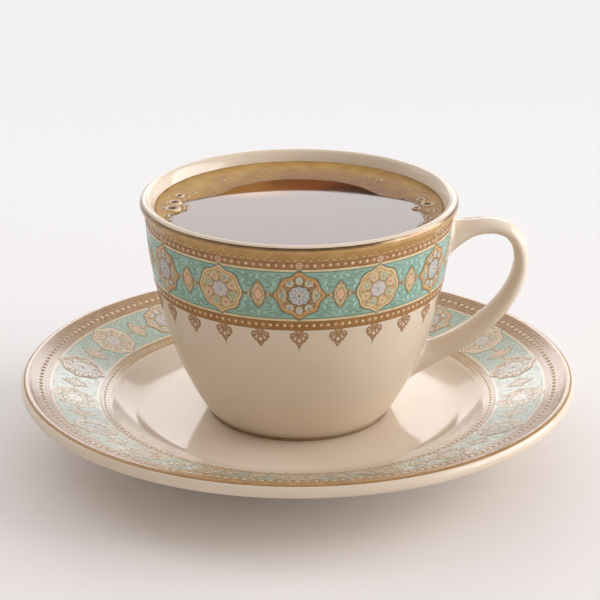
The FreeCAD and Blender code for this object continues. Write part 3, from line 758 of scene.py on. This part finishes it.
def rose_medallion(border, half):
    """A round, cusped medallion that runs out into both borders in an ogee point."""
    def ogee(t):
        return (half * (0.87 + 0.1 * (swell(t, 0, 0.2) + swell(t, pi, 0.2))
                        + 0.1 * (swell(t, pi / 2, 0.14) + swell(t, -pi / 2, 0.14)))
                + 0.2 * cos(8 * t))
    size = half / DRAWN_HALF
    lay_frame(border, 80, ogee, (("deep", 1.07, 0.008, 4), ("olive", 0.98, 0.02, 5)),
              (("brown", 1.0, 0.24, 0.04), ("orange", 0.905, 0.86, 0.045),
               ("gold", 0.93, 0.3, 0.11), ("brown", 0.8, 0.22, 0.05)))
    for t in turns(16, 0.5):
        border.dot("brown", away(t, 0.905 * ogee(t)), 0.2, 0.12)
    for side in (1, -1):
        spot = (side * 4.15 * size, 0.0)
        border.patch("leaf", oval(spot, 0.0, 0.78 * size, 1.9 * size), 0.045, 2)
        border.loop("cream", oval(spot, 0.0, 0.84 * size, 1.95 * size, 16), 0.24, 0.06)
        border.dot("deep", spot, 0.26, 0.07)
        for up in (1, -1):
            high = (side * 2.3 * size, up * 3.35 * size)
            border.patch("mist", oval(high, 0.0, 0.84 * size, 0.82 * size), 0.045, 2)
            border.loop("cream", oval(high, 0.0, 0.88 * size, 0.86 * size), 0.22, 0.06)
            for enamel, x, y, radius, base in (
                    ("mist", 4.15, 1.05, 0.3, 0.07), ("orange", 3.1, 1.5, 0.22, 0.05),
                    ("olive", 2.3, 3.35, 0.24, 0.07), ("brown", 1.15, 3.05, 0.24, 0.05),
                    ("blush", 3.35, 2.55, 0.2, 0.05)):
                border.dot(enamel, (side * x * size, up * y * size), radius, base)
    for up in (1, -1):
        spot = (0.0, up * 4.05 * size)
        border.patch("mist", oval(spot, 0.0, 0.66 * size, 0.92 * size), 0.045, 2)
        border.loop("cream", oval(spot, 0.0, 0.72 * size, 0.98 * size), 0.22, 0.06)
        border.dot("lilac", spot, 0.28, 0.07)
    border.loop("brown", scalloped(10, 2.62, size), 0.3, 0.04)
    border.patch("mist", scalloped(10, 2.46, size), 0.045, 3)
    for t in turns(10, 0.5):
        border.leaf("lilac", away(t, 1.65 * size), t, 0.36 * size, 0.62 * size, 0.07)
        border.stroke("olive", [away(t - pi / 10, reach * size) for reach in (1.0, 1.6, 2.2)],
                      0.13, 0.07)
    for t in turns(5):
        border.dot("cream", away(t, 0.72 * size), 0.26, 0.08)
    border.dot("olive", (0.0, 0.0), 0.34, 0.08)


def star_medallion(border, half):
    """A round medallion of eight lobes with a broad pale rim and a ring of pointed arches."""
    def star(t):
        return half * (0.86 + 0.07 * abs(cos(4 * t))
                       + 0.08 * (swell(t, 0, 0.1) + swell(t, pi, 0.1)))

    def at(t, out, side=0.0):
        """A point outward in a direction and across it."""
        return ((-out * sin(t) + side * cos(t)) * size, (out * cos(t) + side * sin(t)) * size)
    size = half / DRAWN_HALF
    lay_frame(border, 96, star, (("deep", 1.06, 0.008, 4), ("sand", 0.99, 0.02, 5)),
              (("olive", 1.0, 0.24, 0.04), ("cream", 0.945, 0.36, 0.045),
               ("gold", 0.87, 0.5, 0.045), ("lime", 0.795, 0.3, 0.05)))
    for k, t in enumerate(turns(8, 0.5)):
        border.patch("leaf" if k % 2 else "blush", [at(t, *point) for point in ARCH], 0.035, 2)
        border.loop("lime", [at(t, *point) for point in ARCH_LINE], 0.28, 0.06)
        border.dot("mist" if k % 2 else "olive", at(t, 3.65), 0.3, 0.06)
        between = t + pi / 8
        border.dot("brown", at(between, 4.5), 0.22, 0.05)
        border.dot("blush", at(between, 3.9), 0.26, 0.05)
        border.stroke("olive", [at(between, out) for out in (2.3, 2.9, 3.5)], 0.2, 0.05)
    border.loop("olive", scalloped(8, 2.2, size), 0.24, 0.04)
    border.patch("lilac", scalloped(8, 2.05, size), 0.045, 3)
    for t in turns(8):
        border.leaf("cream", away(t, 1.4 * size), t, 0.22, 0.5, 0.07)
    border.patch("mist", oval((0.0, 0.0), 0.0, 0.62, 0.8), 0.075, 1)
    border.dot("deep", (0.0, 0.0), 0.22, 0.08)


def lozenge(border, reach):
    """A small cusped lozenge with a beaded heart, tied to both sides by bars with curls."""
    def edge(wide, tall):
        return [(-wide * np.sign(sin(t)) * abs(sin(t)) ** 1.5,
                 tall * np.sign(cos(t)) * abs(cos(t)) ** 1.5) for t in turns(28)]
    border.patch("deep", edge(2.35, 4.3), 0.008)
    for side in (1, -1):
        bar = [(side * x, 0.0) for x in np.linspace(1.3, reach, 6)]
        border.stroke("olive", bar, 0.72, 0.03)
        border.stroke("gold", bar, 0.46, 0.06)
        for up in (1, -1):
            border.stroke("gold", mirrored(curl((2.45, 0.72), 0.6, -2.0, 4.6), side, up), 0.26,
                          0.04)
        border.dot("cream", (side * 2.45, 0.0), 0.3, 0.1)
    border.patch("sand", edge(1.7, 3.5), 0.03)
    border.loop("olive", edge(1.85, 3.7), 0.2, 0.04)
    border.loop("lime", edge(1.5, 2.75), 0.34, 0.06)
    border.patch("blush", edge(0.95, 1.75), 0.06, 2)
    for up in (1, -1):
        border.leaf("orange", (0.0, up * 3.15), 0.0, 0.34, 0.62, 0.06)
        border.dot("cream", (0.0, up * 0.72), 0.24, 0.09)
        border.dot("brown", (0.0, up * 1.5), 0.2, 0.09)
        border.leaf("pale", (0.0, up * 5.0), 0.0, 0.46, 0.72, 0.02)
    for side in (1, -1):
        border.dot("cream", (side * 0.42, 0.0), 0.22, 0.09)
        for up in (1, -1):
            border.loop("sand", oval((side * 1.3, up * 1.35), 0.0, 0.42, 0.5, 8), 0.24, 0.03)
            border.dot("orange", (side * 1.3, up * 1.35), 0.22, 0.03)
            border.dot("lime", (side * 0.75, up * 2.35), 0.24, 0.05)
            for path, width in (
                    (curl((2.7, 3.1), 1.1, -2.4, 5.6), 0.26),
                    (curl((5.4, 4.9), 0.95, 2.6, -5.2), 0.24),
                    ([(1.4, 6.0), (2.6, 5.2), (4.0, 4.8), (5.2, 5.7)], 0.24),
                    ([(0.5, 5.3), (1.3, 4.6), (2.4, 4.4), (3.6, 4.0)], 0.2)):
                border.stroke("deep", mirrored(path, side, up), width, 0.02)
            for x, y, turned, wide, tall in (
                    (1.75, 5.15, -0.6, 0.4, 0.8), (3.9, 3.4, 0.7, 0.42, 0.85),
                    (3.5, 1.9, 0.2, 0.34, 0.7), (2.1, 3.0, -0.3, 0.3, 0.5)):
                border.leaf("pale", (side * x, up * y), side * up * turned, wide, tall, 0.02)
            border.dot("lime", (side * 3.7, up * 5.7), 0.24, 0.03)


def pendant(border, length):
    """A hanging ornament: a stalk, two side curls, a ring with a pale heart, and a drop."""
    border.patch("sand", [(0.0, 0.1), (-0.95, 0.05), (-0.5, -0.8), (0.0, -1.55), (0.5, -0.8),
                          (0.95, 0.05)], 0.01, 2)
    for side in (1, -1):
        for path, width in (
                ([(1.15, 0.05), (0.72, -0.6), (0.34, -1.3), (0.12, -1.9)], 0.5),
                (curl((1.58, -1.72), 0.84, 2.5, -6.4, 14), 0.52),
                ([(2.35, -1.95), (1.95, -2.55), (1.45, -3.05), (0.98, -3.5), (0.5, -4.2),
                  (0.1, -4.7)], 0.5),
                ([(0.9, -1.35), (0.6, -1.75), (0.42, -2.2), (0.6, -2.6)], 0.42)):
            border.stroke("sepia", mirrored(path, side), width)
        border.dot("sand", (side * 1.58, -1.72), 0.3)
        border.bead("sepia", (side * 1.62, -3.35), 0.22)
    border.loop("sepia", oval((0.0, -3.05), 0.0, 0.78, 0.84), 0.5)
    border.bead("cream", (0.0, -3.05), 0.4)
    border.bead("sepia", (0.0, -4.75), 0.46)
    border.stroke("sepia", [(0.0, -4.5), (0.0, (-4.5 - length) / 2), (0.0, -length)], 0.5,
                  pointed=True)


def on_cup(depth):
    """Lays flat drawings on the cup's side, with their middle at a depth below the lip."""
    def lay(angle, x, y, lift):
        height = CUP_HEIGHT - depth + y
        radius = cup_radius(height) + lift
        turned = angle + x / BAND_RADIUS
        return (cup_place[0] + radius * cos(turned), cup_place[1] + radius * sin(turned),
                cup_place[2] + height)
    return lay


def lay_repeats(border, count, radius, half, medallions, lay_beads):
    """Medallions that take turns round a band, each with its beads and a lozenge after it."""
    for k, turned in enumerate(turns(count)):
        border.angle = FRONT + turned
        medallions[k % 2](border, half)
        lay_beads(border, 2 * pi * radius / count)
        border.angle += pi / count
        lozenge(border, pi * radius / count - 0.9 * half)


def cup_beads(border, width):
    """One repeat of the cup's bead rows; a ringed bead marks the medallion's middle."""
    for j in range(BEADS):
        across = (j - BEADS // 2) * width / BEADS
        gap = across + width / BEADS / 2
        enamel = "cream" if j % 2 else "blush"
        if j == BEADS // 2:
            border.loop("cream", oval((0.0, UPPER_BEADS), 0.0, 0.74, 0.74), 0.26)
            border.bead("blush", (0.0, UPPER_BEADS), 0.36)
        else:
            border.bead(enamel, (across, UPPER_BEADS), 0.42)
        border.bead(enamel, (across, LOWER_BEADS), 0.43)
        for up in (1, -1):
            border.dot("brown", (gap, UPPER_BEADS + up * 0.45), 0.22)
            border.dot("brown", (gap, LOWER_BEADS + up * 0.5), 0.2)
        border.dot("brown", (across, FINE_BEADS), 0.24)
        border.dot("brown", (gap, TOP_BEADS), 0.2)
        border.dot("cream", (gap, FINE_BEADS), 0.18)


def make_cup_border():
    border = Border(on_cup(FIELD_DEPTH))
    lay_repeats(border, MEDALLIONS, BAND_RADIUS, MEDALLION_HALF,
                (rose_medallion, star_medallion), cup_beads)
    for height in BROWN_LINES:
        border.ring("brown", BAND_RADIUS, height, 0.3)
    for height in DEEP_LINES:
        border.ring("deep", BAND_RADIUS, height, 0.34, 0.01)
    border.fire("cup_border_enamels", cup_enamels)


def make_pendants():
    border = Border(on_cup(PENDANT_DEPTH))
    for k, turned in enumerate(turns(2 * MEDALLIONS)):
        border.angle = FRONT + turned
        pendant(border, PENDANT_LENGTHS[k % 2])
    border.fire("cup_pendants", cup_enamels)


cup_enamels = make_enamels("cup ", 0.0, (0.16, 0.3), 0.0)
make_cup_border()
make_pendants()


# ---- the border on the saucer ----
# The same enamels on the saucer's flange, between a broad beaded band along the edge and a
# narrow one round the well.

FIELD_RADIUS, FIELD_HALF, SAUCER_MEDALLIONS = 60.9, 6.5, 18
# rows of beads as (beads in a repeat, height from the field's middle, size, their enamels)
SAUCER_ROWS = ((11, -8.95, 0.6, ("sand", "gold")), (10, 8.1, 0.42, ("sand", "sand")))
SAUCER_LINES = [("brown", height) for height in (-11.3, -10.3, -7.6, -6.8, 6.8, 7.2, 9.1)]
SAUCER_LINES += [("deep", -5.8)]


def on_flange(angle, x, y, lift):
    """Lays flat drawings on the flange, with their tops toward the well."""
    radius = FIELD_RADIUS - y
    turned = angle + x / FIELD_RADIUS
    return (radius * cos(turned), radius * sin(turned),
            saucer_place[2] + flange_height(radius) + lift)


def saucer_beads(border, width):
    """One repeat of the saucer's bead rows."""
    for count, height, size, enamels in SAUCER_ROWS:
        for j in range(count):
            border.bead(enamels[j % 2], ((j - 5) * width / count, height), size)


def make_saucer_border():
    border = Border(on_flange)
    lay_repeats(border, SAUCER_MEDALLIONS, FIELD_RADIUS, FIELD_HALF,
                (star_medallion, rose_medallion), saucer_beads)
    for enamel, height in SAUCER_LINES:
        border.ring(enamel, FIELD_RADIUS, height, 0.3, count=320)
    border.fire("saucer_border_enamels", saucer_enamels)


# the saucer's enamels are paled toward the glaze, partly as a painted sheen of the window's
# reflection
saucer_enamels = make_enamels("saucer ", SAUCER_PALE_PRINT_AND_SHEEN, SAUCER_GLOSS, SAUCER_COAT)
make_saucer_border()


# ---- the coffee ----
# Dark, clear coffee up to a few millimetres below the lip.  Its open middle is a mirror, and
# round it a reddish brown film of fine oil and crumbs thickens toward the froth.  A golden
# patch on its left is painted light, and a darker one on its right painted shade.

LEVEL = (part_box("coffee")[1] / MM).z
surface_middle = Vector((cup_place[0], cup_place[1], LEVEL)) * MM
# the film starts at the first and is full at the second: out from the axis, and toward the back
OPEN_RADIUS, FILM_RADIUS = 9.0, 15.0
FILM_FRONT, FILM_BACK = 5.5, 12.0
# the golden film colour is painted light and the dark film colour painted shade
BLACK_COFFEE, RED_FILM, GOLDEN_PAINTED_LIGHT = (80, 44, 28), (128, 74, 42), (162, 112, 62)
DARK_PAINTED_SHADE, CRUMBS = (66, 44, 32), (84, 46, 30)
# each patch of painted light and painted shade on the film, as its place from the cup's axis,
# and where it ends and is fullest
PAINTED_LIGHT_PATCH, PAINTED_SHADE_PATCH = ((-21.0, 15.0, 0.0), 26.0, 6.0), ((20.0, 10.0, 0.0), 19.0, 5.0)


def combined(tree, operation, first, second):
    return add_node(tree, "ShaderNodeMath", {0: first, 1: second},
                    operation=operation).outputs["Value"]


def distance_from(tree, place, centre):
    """How far a place lies from a centre that is given in millimetres from the cup's axis."""
    return add_node(tree, "ShaderNodeVectorMath", {
        0: place, 1: surface_middle + Vector(centre) * MM}, operation="DISTANCE").outputs["Value"]


def part_of(tree, place, axis):
    return add_node(tree, "ShaderNodeSeparateXYZ", {"Vector": place}).outputs[axis]


def make_coffee_finish():
    """Clear dark coffee; its film is golden left as painted light, darker right as painted shade."""
    material, tree, shader = new_material("dark coffee")
    place = object_place(tree)
    cloud = noise(tree, place, 110.0, 3.0, 0.5)
    behind = spread(tree, part_of(tree, place, "Y"), FILM_FRONT * MM, FILM_BACK * MM, smooth=True)
    film = spread(tree, distance_from(tree, place, (0.0, 0.0, 0.0)), OPEN_RADIUS * MM,
                  FILM_RADIUS * MM, smooth=True)
    # masks of the painted light on the left and the painted shade on the right
    golden, dark = (spread(tree, distance_from(tree, place, centre), end * MM, full * MM, smooth=True)
                    for centre, end, full in (PAINTED_LIGHT_PATCH, PAINTED_SHADE_PATCH))
    crumbs = spread(tree, cloud, 0.45, 0.75, 0.0, 0.45)
    colour = srgb(*BLACK_COFFEE)
    for share, laid_over in ((combined(tree, "MULTIPLY", film, behind), RED_FILM),
                             (combined(tree, "MULTIPLY", golden, behind), GOLDEN_PAINTED_LIGHT),
                             (dark, DARK_PAINTED_SHADE), (crumbs, CRUMBS)):
        colour = mixed(tree, share, colour, srgb(*laid_over))
    feed(tree, shader, {"Base Color": colour, "IOR": 1.42,
                        "Roughness": spread(tree, cloud, 0.0, 1.0, 0.004, 0.02)})
    return material


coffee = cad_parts["coffee"]
for skin in coffee.material_slots:
    skin.material = make_coffee_finish()


# ---- the froth and its bubbles ----
# A thin ring of golden froth that clings to the wall and thins out into a film toward the open
# coffee, broad at the back and narrow in front.  Larger bubbles stand in it at the two sides.

FROTH_THICKNESS, FROTH_SUNK, FROTH_CLIMB = 0.5, 0.05, 0.12
HAZE_BACK = 23.0
FROTH_FILM = ((126, 84, 47), (160, 117, 58), (188, 148, 81))
BUBBLE_RIM_AND_HIGHLIGHT = ((190, 156, 116), (214, 188, 150), (230, 210, 178))
# a bubble's outline as shares of its radius; the first rings make its pale collar, pale partly
# as a painted highlight
BUBBLE_OUTLINE = ((1.16, -0.16), (1.1, 0.1), (1.0, 0.26), (0.9, 0.28), (0.82, 0.2),
                  (0.64, 0.3), (0.36, 0.4))
BUBBLE_TOP, COLLAR_RINGS, SMALL_BUBBLE = 0.44, 4, 0.4
# the larger bubbles as (direction in degrees, distance from the cup's axis, radius)
LARGE_BUBBLES = (
    (185.5, 33.6, 1.9), (176.3, 33.2, 1.6), (166.6, 33.1, 1.15), (158.9, 30.4, 0.6),
    (133.8, 30.5, 0.65), (121.2, 30.4, 0.6), (52.8, 31.1, 0.6), (44.2, 30.9, 0.8),
    (36.8, 31.9, 0.6), (23.9, 32.3, 0.7), (8.3, 33.0, 1.1), (1.2, 34.2, 1.7),
    (-3.6, 31.2, 1.1), (-8.0, 35.1, 1.0), (-17.6, 35.4, 0.9), (-21.8, 36.2, 0.8),
    (-28.4, 35.5, 0.7), (193.7, 35.8, 0.75), (198.0, 35.9, 0.5))
# clusters of small bubbles as (direction, how far they scatter, how many), and the fine ones
CLUSTERS, FINE_BUBBLES = ((4.0, 9.0, 44), (180.0, 8.0, 44), (-18.0, 9.0, 16)), 300
froth_rng = random.Random(7)


def inner_wall(height):
    """The cup's inner radius in the flare or just below it, at a height above its foot."""
    if height < SIDE_TOP:
        return SIDE[0][0] + sqrt((SIDE[1] - WALL) ** 2 - (height - SIDE[0][1]) ** 2)
    return FLARE[0][0] - sqrt((FLARE[1] + WALL) ** 2 - (height - FLARE[0][1]) ** 2)


FROTH_WALL = inner_wall(LEVEL - cup_place[2]) - 0.04
WALL_LEAN = inner_wall(LEVEL - cup_place[2] + FROTH_THICKNESS) - FROTH_WALL - 0.01


def eased(value, start, end):
    t = min(max((value - start) / (end - start), 0.0), 1.0)
    return t * t * (3 - 2 * t)


def off_back(angle):
    """How far a direction is turned from straight back, in degrees."""
    return abs(degrees((angle - pi / 2 + pi) % (2 * pi) - pi))


def film_edge(angle):
    """The radius that the froth's film reaches to."""
    turned = off_back(angle)
    wander = 0.5 * sin(7 * angle + 1) + 0.35 * sin(19 * angle) + 0.2 * sin(37 * angle + 2)
    return (HAZE_BACK + 6.4 * eased(turned, 66, 88) + 5.4 * eased(turned, 93, 112)
            + wander * (0.25 + eased(turned, 60, 90)))


def mounds(angle, share):
    """Low mounds in the froth."""
    return (0.35 * sin(17 * angle + 3 * share) * sin(9 * share + 5 * angle)
            + 0.25 * sin(41 * angle + 11 * share) + 0.2 * sin(73 * angle - 17 * share))


def froth_top(angle, radius):
    """The height of the froth's surface above the coffee."""
    inside = (FROTH_WALL - radius) / (FROTH_WALL - film_edge(angle))
    fall = 1 - eased(inside, 0.12, 0.95)
    return max(FROTH_THICKNESS * fall * (0.82 + 0.18 * mounds(angle, inside)), 0.02)


def make_froth_finish(name, colours, thins_out=False):
    """Golden froth; where it thins out, its cover says how much of the coffee it hides."""
    material, tree, shader = new_material(name)
    place = object_place(tree)
    blots = noise(tree, place, 210.0, 4.0, 0.6)
    cells = add_node(tree, "ShaderNodeTexVoronoi", {"Vector": place, "Scale": 1700.0})
    # paler toward the wall where the froth is thick; the middle sits 4 mm to the right, so the left
    # is paler as painted light and the right darker as painted shade
    outward = spread(tree, distance_from(tree, place, (4.0, 0.0, 0.0)), 23 * MM, 37 * MM, 0.0, 0.6,
                     smooth=True)
    shade = spread(tree, blots, 0.3, 0.7, 0.0, 0.44)
    ramp = add_node(tree, "ShaderNodeValToRGB", {"Fac": combined(tree, "ADD", outward, shade)})
    inner, middle, outer = (srgb(*colour) for colour in colours)
    first, last = ramp.color_ramp.elements
    first.position, first.color = 0.1, inner
    last.position, last.color = 0.95, outer
    ramp.color_ramp.elements.new(0.55).color = middle
    bump = add_node(tree, "ShaderNodeBump", {
        "Height": cells.outputs["Distance"], "Strength": 0.3, "Distance": 0.2 * MM})
    feed(tree, shader, {
        "Base Color": ramp.outputs["Color"], "Roughness": spread(tree, blots, 0.0, 1.0, 0.35, 0.6),
        "Normal": bump.outputs["Normal"], "Specular IOR Level": 0.22})
    if thins_out:
        cover = add_node(tree, "ShaderNodeAttribute", attribute_name="cover").outputs["Fac"]
        lace = noise(tree, place, 700.0, 3.0, 0.6)
        torn = add_node(tree, "ShaderNodeMath", {0: lace, 1: 0.5, 2: cover},
                        operation="MULTIPLY_ADD").outputs["Value"]
        feed(tree, shader, {"Alpha": spread(tree, torn, 0.25, 1.0, smooth=True)})
    return material


def make_froth(steps=480, rows=20):
    """The ring of froth, with how much it covers kept for each of its points."""
    points, faces, cover = [], [], []
    section = rows + 3
    for angle in turns(steps):
        edge = film_edge(angle)
        fade = 0.7 + 4.6 * eased(off_back(angle), 60, 84)
        line = []
        for row in range(rows + 1):
            radius = FROTH_WALL + (edge - FROTH_WALL) * row / rows
            line.append((radius + (WALL_LEAN if row == 0 else 0.0),
                         LEVEL + froth_top(angle, radius) + (FROTH_CLIMB if row == 0 else 0.0)))
            cover.append(min((radius - edge) / fade, 1.0))
        line += [(edge, LEVEL - FROTH_SUNK), (FROTH_WALL, LEVEL - FROTH_SUNK)]
        cover += [0.0, 1.0]
        points += [(cup_place[0] + radius * cos(angle), radius * sin(angle), height)
                   for radius, height in line]
    for step in range(steps):
        faces += band(step * section, (step + 1) % steps * section, section)
    finish = make_froth_finish("froth film", FROTH_FILM, thins_out=True)
    ring = make_piece("froth_ring", points, faces, [finish], [0] * len(faces))
    ring.data.attributes.new("cover", "FLOAT", "POINT").data.foreach_set("value", cover)
    return ring


froth = make_froth()
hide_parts("froth")


def bubble_spots():
    """Places and sizes of the bubbles, as distances from the cup's axis and a radius."""
    spots = []

    def add(angle, out, radius):
        x, y = out * cos(radians(angle)), out * sin(radians(angle))
        if all(hypot(x - a, y - b) > 0.9 * (radius + size) for a, b, size in spots):
            spots.append((x, y, radius))

    for angle, out, radius in LARGE_BUBBLES:
        add(angle, out, radius)
    for centre, scatter, count in CLUSTERS:
        for _ in range(count):
            angle = froth_rng.gauss(centre, scatter)
            low = film_edge(radians(angle)) + 1.2
            add(angle, froth_rng.uniform(low, 37.2), froth_rng.uniform(0.2, 0.6))
    for _ in range(FINE_BUBBLES):
        angle = froth_rng.uniform(0, 360)
        low = film_edge(radians(angle)) + 1.0
        add(angle, froth_rng.uniform(low, 37.5), froth_rng.choice((0.12, 0.15, 0.2)))
    return spots


def make_bubbles():
    """Each bubble is a low pale collar, partly a painted highlight, round a dark, wet dome."""
    points, faces, marks = [], [], []
    for x, y, radius in bubble_spots():
        first = len(points)
        sides = 18 if radius > SMALL_BUBBLE else 8
        base = LEVEL + froth_top(atan2(y, x), hypot(x, y))
        for share, rise in BUBBLE_OUTLINE:
            points += [(cup_place[0] + x + radius * share * cos(t),
                        y + radius * share * sin(t), base + radius * rise)
                       for t in turns(sides)]
        for ring in range(len(BUBBLE_OUTLINE) - 1):
            faces += band(first + ring * sides, first + (ring + 1) * sides, sides)
            marks += [0 if ring < COLLAR_RINGS else 1] * sides
        faces += fan(len(points), len(points) - sides, sides)
        marks += [1] * sides
        points.append((cup_place[0] + x, y, base + radius * BUBBLE_TOP))
    # the collar's pale colours are partly a painted highlight of the bubble's ring
    rim = make_froth_finish("bubble rim and painted highlight", BUBBLE_RIM_AND_HIGHLIGHT)
    film = fired_finish("bubble film", (92, 60, 38), (124, 88, 56), patch=700.0,
                        grain=1500.0, gloss=(0.04, 0.1), ripple=0.02)
    make_piece("froth_bubbles", points, faces, [rim, film], marks)


make_bubbles()


# ---- the table, the lamps and the camera ----
# A wide pale table in a plain room that is dimmer and warmer in front.  A broad window lights
# the cup from behind, over a dark bar; a big soft lamp stands on the right, with two fills.

TABLE_HALF, TABLE_START, TABLE_END = 4.0, -0.12, 0.42
TABLE_FRONT, TABLE_BACK, TABLE_SEEN = (236, 231, 229), (246, 244, 245), (243, 241, 242)
BAR_AWAY, BAR_HALF, BAR_LOW, BAR_TOP = 2.0, 0.15, 0.45, 0.7163
BAR_SAG, SAG_WIDTH, BAR_STEPS = 0.006, 0.088, 12
BAR_COLOUR = (70, 52, 42)
ROOM_UP = (0.0, 0.6, 0.8)
ROOM_FRONT, ROOM_BACK = (255, 236, 212), (249, 248, 249)
SOFT_FRONT, SOFT_BACK = 0.33, 0.8
CEILING_START, CEILING_END, CEILING_LIGHT = 0.38, 0.6, 0.45
# each lamp's bearing and elevation in degrees, distance, size, radiance and colour
LAMPS = (("window", (0.0, 20.5), 2.6, (2.1, 0.75), 2.05, (0.985, 0.945, 0.94)),
         ("soft_key", (84.0, 22.0), 2.2, (2.1, 1.6), 4.1, (0.975, 0.985, 1.01)),
         ("left_fill", (-55.0, 42.0), 2.2, (1.2, 1.2), 1.25, (1, 1, 1)),
         ("right_fill", (112.0, 13.0), 2.2, (0.9, 0.8), 2.4, (1, 1, 1)))
CAMERA_LENS, CAMERA_SENSOR, CAMERA_SHIFT = 136.3, 36.0, 0.0039
CAMERA_PLACE, CAMERA_PITCH = (0.0, -0.57415, 0.2584), 20.88


def put_on_stage(name, points, faces, material):
    mesh = bpy.data.meshes.new(name)
    mesh.from_pydata(points, [], faces)
    mesh.materials.append(material)
    put_in_scene(name, mesh)


def make_table():
    """A pale table that fades into the background far behind."""
    material, tree, shader = new_material("pale table")
    away_back = spread(tree, part_of(tree, object_place(tree), "Y"), TABLE_START, TABLE_END,
                       smooth=True)
    feed(tree, shader, {
        "Base Color": mixed(tree, away_back, srgb(*TABLE_FRONT), srgb(*TABLE_BACK)),
        "Roughness": 0.6, "Specular IOR Level": 0.2})
    glow = add_node(tree, "ShaderNodeEmission", {"Color": srgb(*TABLE_SEEN)})
    camera_ray = add_node(tree, "ShaderNodeLightPath").outputs["Is Camera Ray"]
    surface = add_node(tree, "ShaderNodeMixShader", {
        "Fac": combined(tree, "MULTIPLY", away_back, camera_ray),
        1: shader.outputs["BSDF"], 2: glow.outputs["Emission"]})
    feed(tree, tree.nodes["Material Output"], {"Surface": surface.outputs["Shader"]})
    put_on_stage("table", [(x * TABLE_HALF, y * TABLE_HALF, 0)
                           for x, y in ((-1, -1), (1, -1), (1, 1), (-1, 1))],
                 [(0, 1, 2, 3)], material)


def make_window_bar():
    """A dark bar across the window's foot, which the back of the coffee mirrors."""
    material, tree, shader = new_material("dark bar")
    feed(tree, shader, {"Base Color": srgb(*BAR_COLOUR), "Roughness": 0.9,
                        "Specular IOR Level": 0.0})
    xs = np.linspace(-BAR_HALF, BAR_HALF, BAR_STEPS + 1)
    put_on_stage("window_bar", [(x, BAR_AWAY, BAR_LOW) for x in xs]
                 + [(x, BAR_AWAY, BAR_TOP + BAR_SAG * (x / SAG_WIDTH) ** 2) for x in xs],
                 [(k, k + 1, BAR_STEPS + 2 + k, BAR_STEPS + 1 + k) for k in range(BAR_STEPS)],
                 material)


def make_world():
    """Plain white to look at and low down in mirrors, with a warmer, dimmer room in front."""
    world = bpy.data.worlds.new("studio")
    bpy.context.scene.world = world
    world.use_nodes = True
    tree = world.node_tree
    facing = add_node(tree, "ShaderNodeTexCoord").outputs["Generated"]
    lean = add_node(tree, "ShaderNodeVectorMath", {0: facing, 1: ROOM_UP},
                    operation="DOT_PRODUCT").outputs["Value"]
    soft = spread(tree, lean, -0.6, 1.0, SOFT_FRONT, SOFT_BACK)
    ceiling = spread(tree, part_of(tree, facing, "Z"), CEILING_START, CEILING_END, 1.0,
                     CEILING_LIGHT, smooth=True)
    ray = add_node(tree, "ShaderNodeLightPath").outputs
    clear = combined(tree, "MAXIMUM", ray["Is Camera Ray"], ray["Is Transmission Ray"])
    in_mirrors = spread(tree, ray["Is Glossy Ray"], 0.0, 1.0, soft, ceiling)
    feed(tree, tree.nodes["Background"], {
        "Color": mixed(tree, spread(tree, lean, -0.5, 0.7), srgb(*ROOM_FRONT), srgb(*ROOM_BACK)),
        "Strength": spread(tree, clear, 0.0, 1.0, in_mirrors, 1.0)})


def add_lamp(name, direction, distance_away, size, radiance, colour):
    """A rectangular lamp that faces the coffee."""
    bearing, elevation = (radians(angle) for angle in direction)
    lamp = bpy.data.lights.new(name, "AREA")
    lamp.shape = "RECTANGLE"
    lamp.size, lamp.size_y = size
    lamp.energy = radiance * pi * size[0] * size[1]
    lamp.color = colour
    holder = put_in_scene(name, lamp)
    target = Vector((0.0, 0.0, LEVEL * MM))
    holder.location = target + distance_away * Vector((
        cos(elevation) * sin(bearing), cos(elevation) * cos(bearing), sin(elevation)))
    holder.rotation_euler = (target - holder.location).to_track_quat("-Z", "Y").to_euler()


make_table()
make_window_bar()
make_world()
for lamp_values in LAMPS:
    add_lamp(*lamp_values)

camera_data = bpy.data.cameras.new("camera")
camera_data.lens = CAMERA_LENS
camera_data.sensor_width = CAMERA_SENSOR
camera_data.shift_x = CAMERA_SHIFT
camera = put_in_scene("camera", camera_data)
camera.location = CAMERA_PLACE
camera.rotation_euler = (radians(90.0 - CAMERA_PITCH), 0.0, 0.0)
bpy.context.scene.camera = camera
bpy.context.scene.view_settings.view_transform = "Standard"
